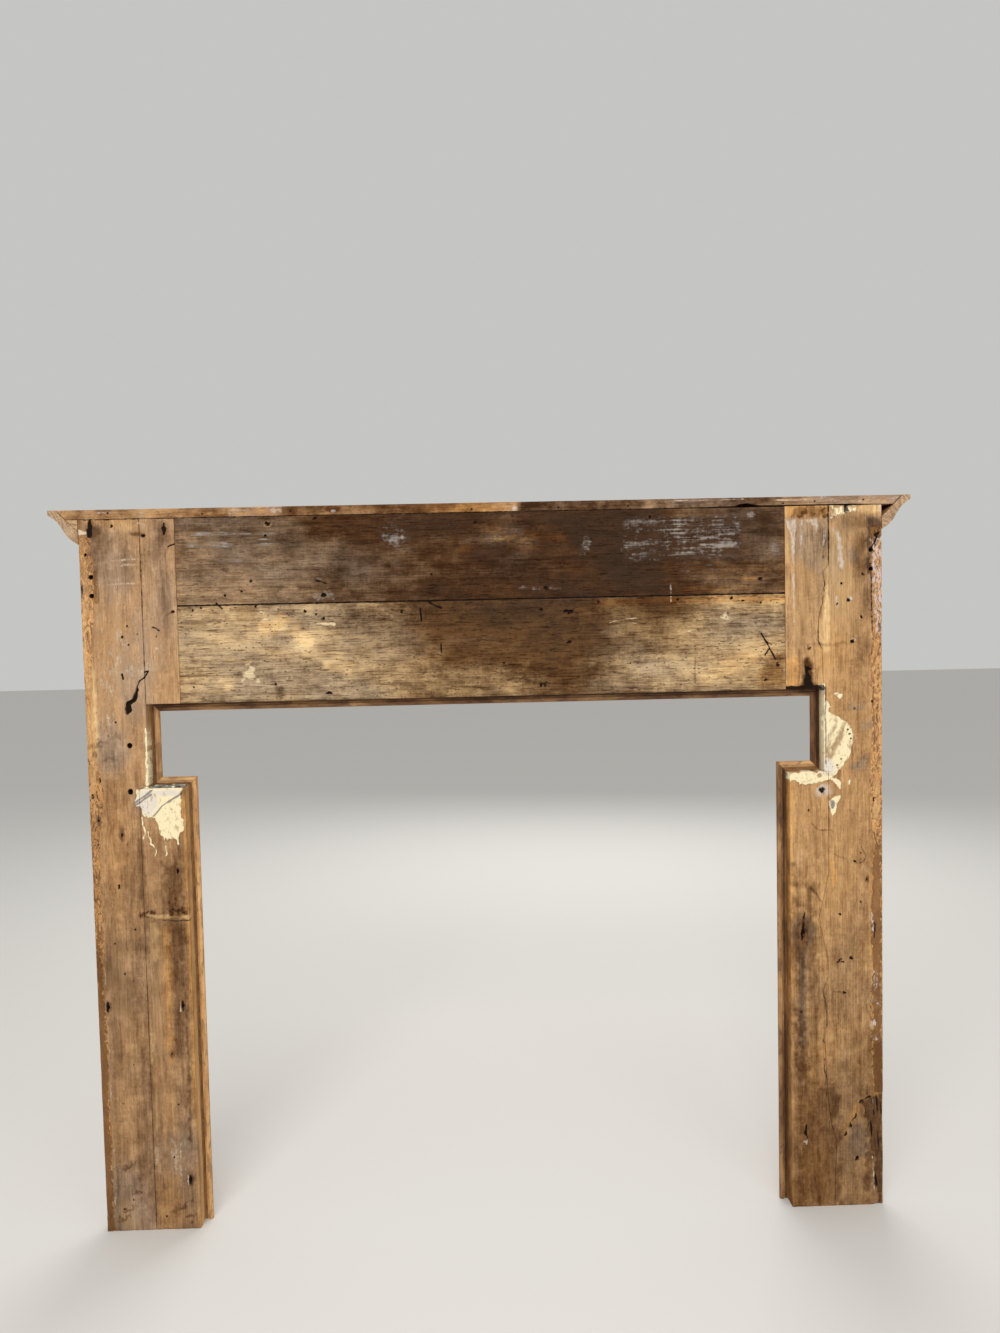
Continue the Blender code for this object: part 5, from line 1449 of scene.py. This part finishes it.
for name, node, corner, outward, length, slopes in (
        ("cornice_along_front", "cornice_front", (-HALF_BODY, FRONT_FACE, CORNICE_FOOT),
         (0, 1, 0), 2 * HALF_BODY, (-1, 1)),
        ("cornice_end_right", "cornice_return_right", (HALF_BODY, FRONT_FACE, CORNICE_FOOT),
         (1, 0, 0), RETURN_LENGTH, (-1, 0)),
        ("cornice_end_left", "cornice_return_left", (-HALF_BODY, cad_box[0][1], CORNICE_FOOT),
         (-1, 0, 0), RETURN_LENGTH, (0, 1))):
    length_of_moulding(name, node, cornice_section(), corner, outward, (0, 0, 1), length, slopes,
                       length * 3 + corner[0], 0.35, 0.0)


def architrave_section():
    """Beaded lip with a groove behind it, an ogee, a round top and an upright outer edge."""
    section = [(0.058, FIT), (0.0140625, FIT), (0.0140625, 0.003), (0.0065625, 0.003),
               (0.0065625, FIT)]
    for step in range(13):
        turn = math.radians(270) - math.pi * step / 12
        section.append((0.004 + 0.004 * math.cos(turn), FIT + 0.004 + 0.004 * math.sin(turn)))
    for step in range(17):
        climb = (1 - math.cos(math.pi * step / 16)) / 2
        section.append((0.009 + 0.029 * step / 16, 0.008 + (0.0252 - 0.008) * climb))
    for step in range(1, 11):
        section.append((0.038 + 0.014 * step / 10, 0.0252 + 0.0028 * math.sin(math.pi * step / 10)))
    return section + [(0.058, 0.018)]


FIRE, EAR, STEP, HEAD = 0.513, 0.574, 0.802, 0.918
# each length's soot amount is soot and painted shade: the right leg, the right ear and the head are
# painted darker, as in shade
for name, node, corner, outward, length, slopes, soot in (
        ("leg_right", "lower_right", (FIRE, 0.0), (1, 0), STEP, (0, -1), 0.88),
        ("ledge_right", "step_right", (FIRE, STEP), (0, -1), EAR - FIRE, (1, 1), 0.2),
        ("ear_right", "upper_right", (EAR, STEP), (1, 0), HEAD - STEP, (-1, 1), 0.95),
        ("along_head", "head", (EAR, HEAD), (0, 1), 2 * EAR, (-1, 1), 0.95),
        ("ear_left", "upper_left", (-EAR, HEAD), (-1, 0), HEAD - STEP, (-1, 1), 0.35),
        ("ledge_left", "step_left", (-EAR, STEP), (0, -1), EAR - FIRE, (-1, -1), 0.2),
        ("leg_left", "lower_left", (-FIRE, STEP), (-1, 0), STEP, (1, 0), 0.1)):
    length_of_moulding("architrave_" + name, "architrave_" + node, architrave_section(),
                       (corner[0], FRONT_FACE, corner[1]), (outward[0], 0, outward[1]), (0, 1, 0),
                       length, slopes, corner[0] * 2 + corner[1], soot, 1.0)


# The glue block behind the left return: a small triangle of clean, pale pine, sawn and
# glued into the corner, its arrises barely eased.
block_low, block_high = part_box("cornice_block_left")
corners = [(block_high.x, block_high.z), (block_low.x, block_high.z), (block_high.x, block_low.z)]
shape = bmesh.new()
rear = [shape.verts.new((x, block_low.y, z)) for x, z in corners]
fore = [shape.verts.new((x, block_high.y, z)) for x, z in corners]
shape.faces.new(rear)
shape.faces.new(fore[::-1])
for i in range(3):
    shape.faces.new((rear[i], fore[i], fore[(i + 1) % 3], rear[(i + 1) % 3]))
bmesh.ops.recalc_face_normals(shape, faces=shape.faces)
bmesh.ops.bevel(shape, geom=list(shape.edges), offset=0.0005, segments=1, affect="EDGES")
block_mesh = bpy.data.meshes.new("glue_block")
shape.to_mesh(block_mesh)
shape.free()
block_finish, tree, shader = new_finish("glue_block_pine")
place = put(tree, "TexCoord", None, "Object")
level = put(tree, "Mapping", {"Vector": place, "Rotation": (0, math.radians(90), 0)})
lines = ramp(grain_noise(level, 700, 300, 60, 3.0), 0.35, 0.65)
wire(shader, {"Base Color": mixed(lines, (0.50, 0.32, 0.16, 1), (0.22, 0.12, 0.055, 1)),
              "Roughness": 0.75})
place_piece("glue_block_left", block_mesh, 20, "cornice_block_left", block_finish)


# The studio: a plain pale floor, soft light from above and from the camera's side, and the
# camera where the photograph was taken, low and close, a little above the opening.
FLOOR_SIZE = 30.0
bpy.ops.mesh.primitive_plane_add(size=FLOOR_SIZE)
floor = bpy.context.object
floor.name = "studio_floor"
floor_finish, tree, shader = new_finish("pale_floor")
wire(shader, {"Base Color": (0.70, 0.685, 0.66, 1), "Roughness": 0.9})
floor.data.materials.append(floor_finish)

for name, place, aim, size, power, colour in (
        ("window", (-0.7, -2.9, 2.5), (0.0, 0.0, 0.6), 2.0, 70, (1.0, 0.98, 0.95)),
        ("room", (1.5, -3.0, 1.4), (0.1, 0.0, 0.6), 2.0, 22, (1.0, 0.97, 0.94)),
        ("far_side", (0.5, 2.8, 2.4), (0.0, 0.0, 0.7), 2.4, 50, (1.0, 0.98, 0.96))):
    lamp = bpy.data.lights.new(name, "AREA")
    lamp.size, lamp.energy, lamp.color = size, power, colour
    light = bpy.data.objects.new(name, lamp)
    light.location = place
    light.rotation_euler = (Vector(aim) - Vector(place)).to_track_quat("-Z", "Y").to_euler()
    bpy.context.scene.collection.objects.link(light)

world = bpy.data.worlds.new("pale_room")
world.use_nodes = True
wire(world.node_tree.nodes["Background"], {"Color": (0.80, 0.80, 0.78, 1), "Strength": 0.7})
bpy.context.scene.world = world
bpy.context.scene.view_settings.view_transform = "Standard"

PHOTO_FOCAL = 1000.0
PHOTO_HEIGHT = 1333.0
FILM = 36.0
camera_data = bpy.data.cameras.new("photograph")
camera_data.sensor_width = FILM
camera_data.lens = FILM * PHOTO_FOCAL / PHOTO_HEIGHT
camera = bpy.data.objects.new("photograph", camera_data)
camera.location = (-0.017, cad_box[0][1] - 1.731, 1.072)
camera.rotation_euler = (math.radians(87.10), math.radians(1.24), math.radians(-1.39))
bpy.context.scene.collection.objects.link(camera)
bpy.context.scene.camera = camera
